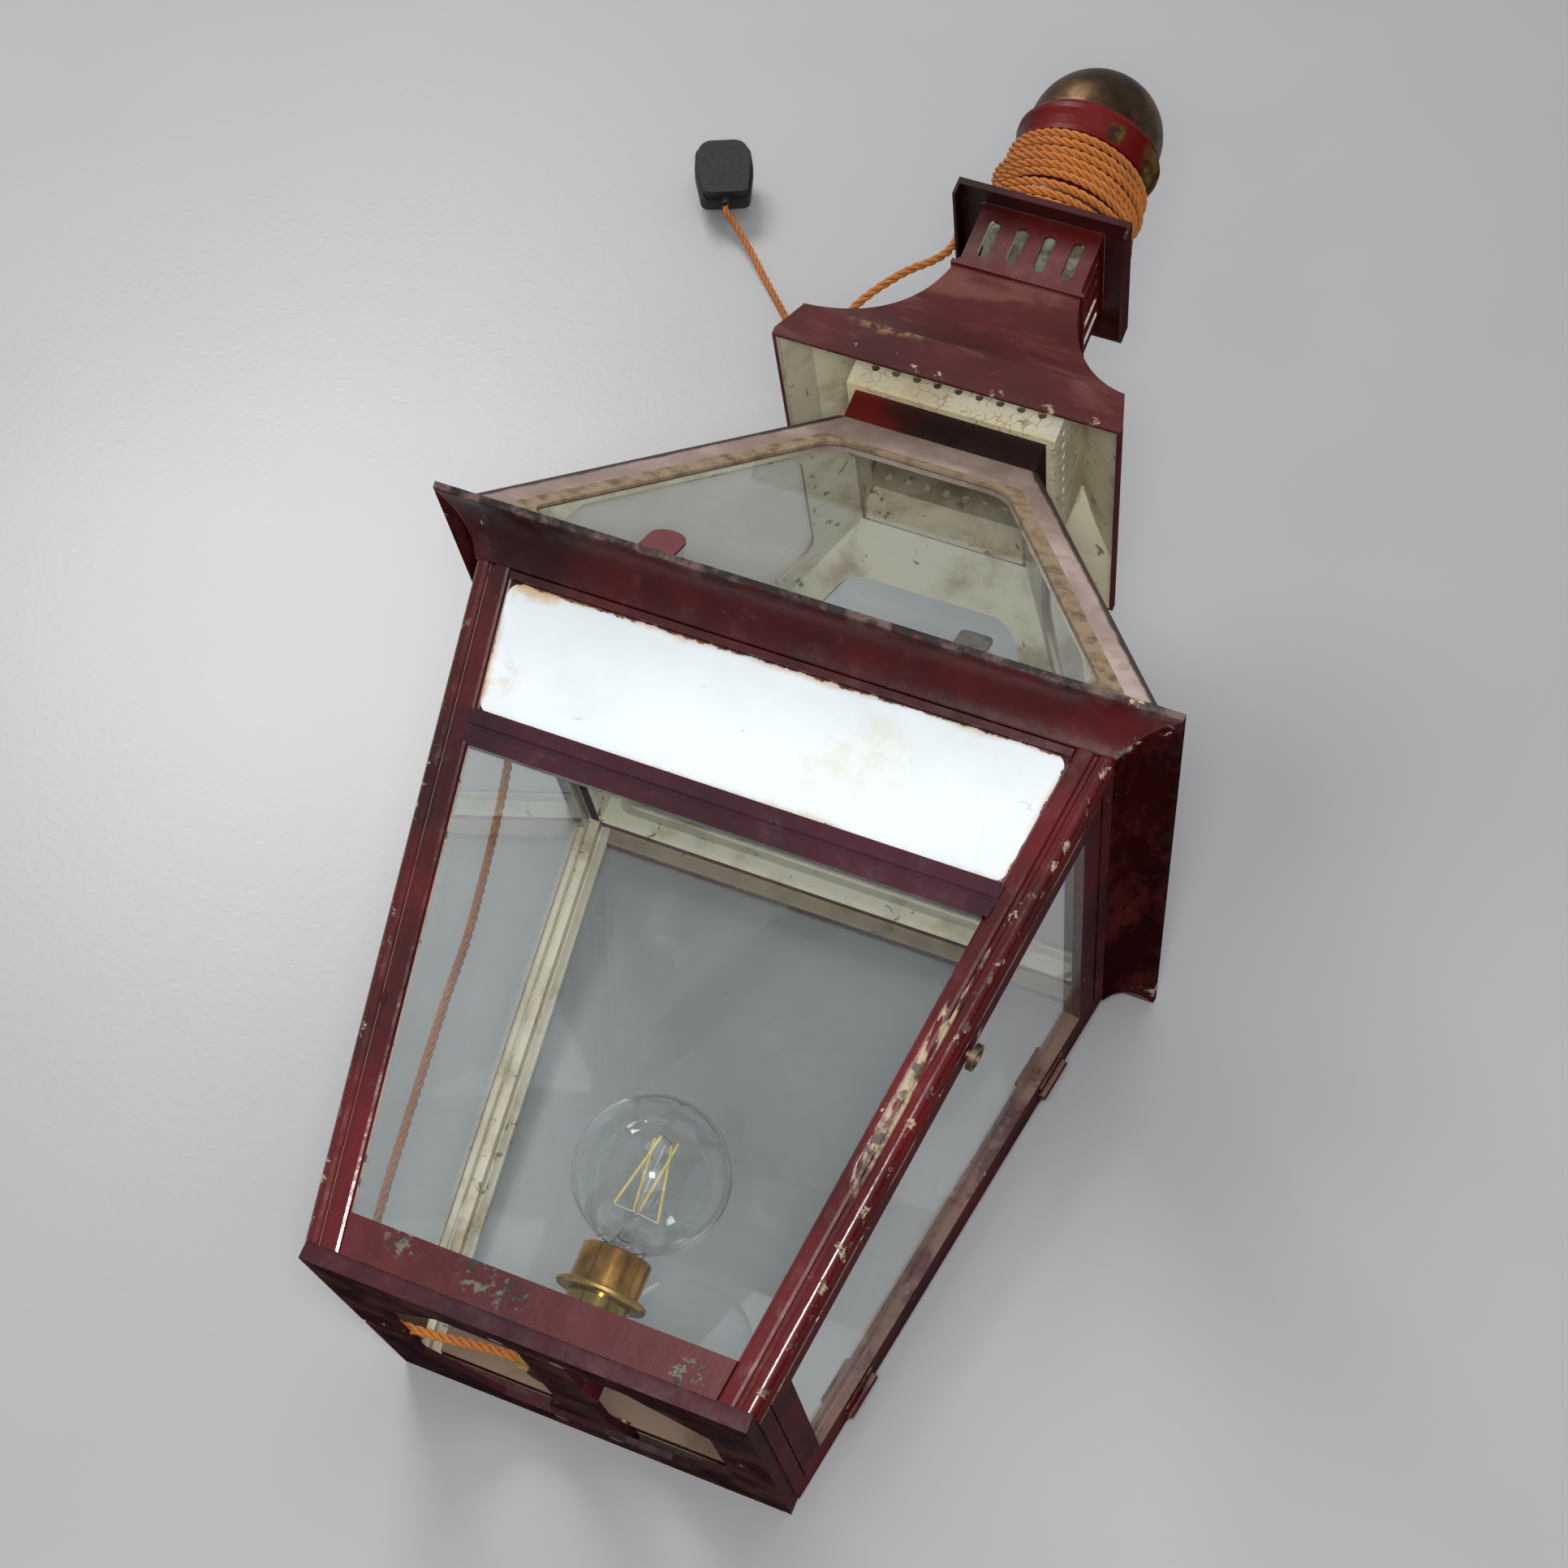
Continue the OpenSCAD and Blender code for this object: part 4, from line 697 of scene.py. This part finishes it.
PLUG = (Matrix.Translation(PLUG_AT) @ Matrix.Rotation(PLUG_TURN, 4, "Z")
        @ Matrix.Rotation(PLUG_TILT, 4, "X") @ Matrix.Translation((0, 0, PLUG_UP)))
PLUG_MOUTH = Vector((0, -0.0343, 0.011))
tail = [laid(p) for p in drop] + [p + Vector((0, FLOOR_OFF, 0)) for p in metres(FLOOR_MM)]
tail += [PLUG @ (PLUG_MOUTH - Vector((0, FLEX_D, 0))), PLUG @ PLUG_MOUTH]
tail = spline_pts(tail, SPLINE_STEPS)
line = lower + loosened()[1:] + tail[1:]


def evenly(p, step):
    """The same line with points an even distance apart."""
    out = [p[0].copy()]
    left = step
    for a, b in zip(p, p[1:]):
        seg = (b - a).length
        pos = 0.0
        while seg - pos >= left:
            pos += left
            out.append(a + (b - a) * (pos / seg))
            left = step
        left -= seg - pos
    if (out[-1] - p[-1]).length > step * 0.3:
        out.append(p[-1].copy())
    else:
        out[-1] = p[-1].copy()
    return out


def new_object(name, bm, mat, smooth=True):
    """An object made from the bmesh, which is freed."""
    me = bpy.data.meshes.new(name)
    bm.to_mesh(me)
    bm.free()
    ob = bpy.data.objects.new(name, me)
    bpy.context.scene.collection.objects.link(ob)
    me.materials.append(mat)
    if smooth:
        for f in me.polygons:
            f.use_smooth = True
    return ob


def twisted(name, path, radius, strands, pitch, mat, sides=8):
    """Strands twisted round one path, with a UV map for their braid."""
    bm = bmesh.new()
    uv = bm.loops.layers.uv.new("braid")
    core = radius / (1 + 1 / math.sin(math.pi / strands))
    orbit = radius - core
    tangent = (path[1] - path[0]).normalized()
    up = Vector((0, 0, 1)) if abs(tangent.z) < 0.9 else Vector((1, 0, 0))
    side = tangent.cross(up).normalized()
    sections = []
    run = 0.0
    for i, p in enumerate(path):
        tangent = (path[min(i + 1, len(path) - 1)] - path[max(i - 1, 0)]).normalized()
        side = (side - tangent * side.dot(tangent)).normalized()
        if i:
            run += (p - path[i - 1]).length
        sections.append((p, tangent, side, tangent.cross(side), run))
    for s in range(strands):
        rings = []
        for p, t, a, b, run in sections:
            ph = 2 * math.pi * (run / pitch + s / strands)
            out = a * math.cos(ph) + b * math.sin(ph)
            ahead = b * math.cos(ph) - a * math.sin(ph)
            lean = (t + ahead * (2 * math.pi * orbit / pitch)).normalized()
            e = (out - lean * out.dot(lean)).normalized()
            f = lean.cross(e)
            ring = []
            for k in range(sides):
                turn = 2 * math.pi * k / sides
                ring.append(bm.verts.new(p + out * orbit
                                         + (e * math.cos(turn) + f * math.sin(turn)) * core))
            rings.append(ring)
        for i in range(len(rings) - 1):
            for k in range(sides):
                k2 = (k + 1) % sides
                face = bm.faces.new((rings[i][k], rings[i][k2], rings[i + 1][k2],
                                     rings[i + 1][k]))
                r0, r1 = sections[i][4], sections[i + 1][4]
                corners = ((k, r0), (k + 1, r0), (k + 1, r1), (k, r1))
                for loop, (u, v) in zip(face.loops, corners):
                    loop[uv].uv = (u / sides, v)
        bm.faces.new(list(reversed(rings[0])))
        bm.faces.new(rings[-1])
    bmesh.ops.recalc_face_normals(bm, faces=bm.faces)
    return new_object(name, bm, mat)


path = evenly(line, step=0.0022)
flex = twisted("flex_braided", path, FLEX_R, strands=3, pitch=0.021, mat=flex_mat)
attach(flex, "lantern")
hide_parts("flex_lower", "flex_winding", "flex_tail")


# Bevels soften the edges of the carried-over solids whose names start like these
SOFT_EDGE, PLUG_EDGE = 0.0007, 0.003
SOFTENED = ("post", "rail", "door_frame", "door_sill", "cornice", "plate_rail", "base_frame",
            "cross_bar", "hood", "cowl", "deflector", "throat", "slotted", "name_plate",
            "roof_frame", "top_rail", "plug_body", "clip")
for name, obj in nodes.items():
    if name.startswith(SOFTENED):
        mod = obj.modifiers.new("bevel", "BEVEL")
        mod.width = PLUG_EDGE if name.startswith("plug") else SOFT_EDGE
        mod.segments = 2
        mod.limit_method = "ANGLE"
        mod.angle_limit = math.radians(35)
        mod.harden_normals = False


# Floor and light
fm = Mat("floor")
floor_color = fm.mix(fm.step(fm.noise(2.2, 3), 0.35, 0.7), srgb(179, 180, 181),
                     srgb(175, 176, 178))
fm.surface(floor_color, 0.34, fm.bump(fm.noise(160, 3), 0.12, 0.001))
bm = bmesh.new()
bmesh.ops.create_grid(bm, x_segments=1, y_segments=1, size=16)
floor = new_object("floor", bm, fm.m, False)
floor.location.z = -0.0002

world = bpy.data.worlds.new("world")
bpy.context.scene.world = world
world.use_nodes = True
background = world.node_tree.nodes["Background"]
background.inputs["Color"].default_value = (0.93, 0.95, 1.0, 1)
background.inputs["Strength"].default_value = 0.36

# Name, place, aim, size, watts, colour
LAMPS = (
    ("key", (-1.6, 1.5, 2.2), (0, 0.05, 0.1), (1.2, 0.9), 40, (1, 0.98, 0.95)),
    ("fill", (0.9, -1.8, 2.6), (0, 0, 0.1), (1.6, 1.6), 14, (0.95, 0.97, 1.0)),
    ("top", (0.2, 0.4, 3.0), (0, 0, 0), (1.4, 1.4), 10, (1, 1, 1)),
    ("flash", (0.345, -0.955, 1.575), (0, 0.05, 0.1), (0.22, 0.22), 12, (1, 0.99, 0.96)),
)
for name, place, aim, size, watts, tint in LAMPS:
    lamp = bpy.data.lights.new(name, "AREA")
    lamp.shape = "RECTANGLE"
    lamp.size, lamp.size_y = size
    lamp.energy = watts
    lamp.color = tint
    obj = bpy.data.objects.new(name, lamp)
    bpy.context.scene.collection.objects.link(obj)
    obj.location = place
    obj.rotation_euler = (Vector(aim) - Vector(place)).to_track_quat("-Z", "Y").to_euler()

bpy.context.scene.view_settings.view_transform = "Standard"
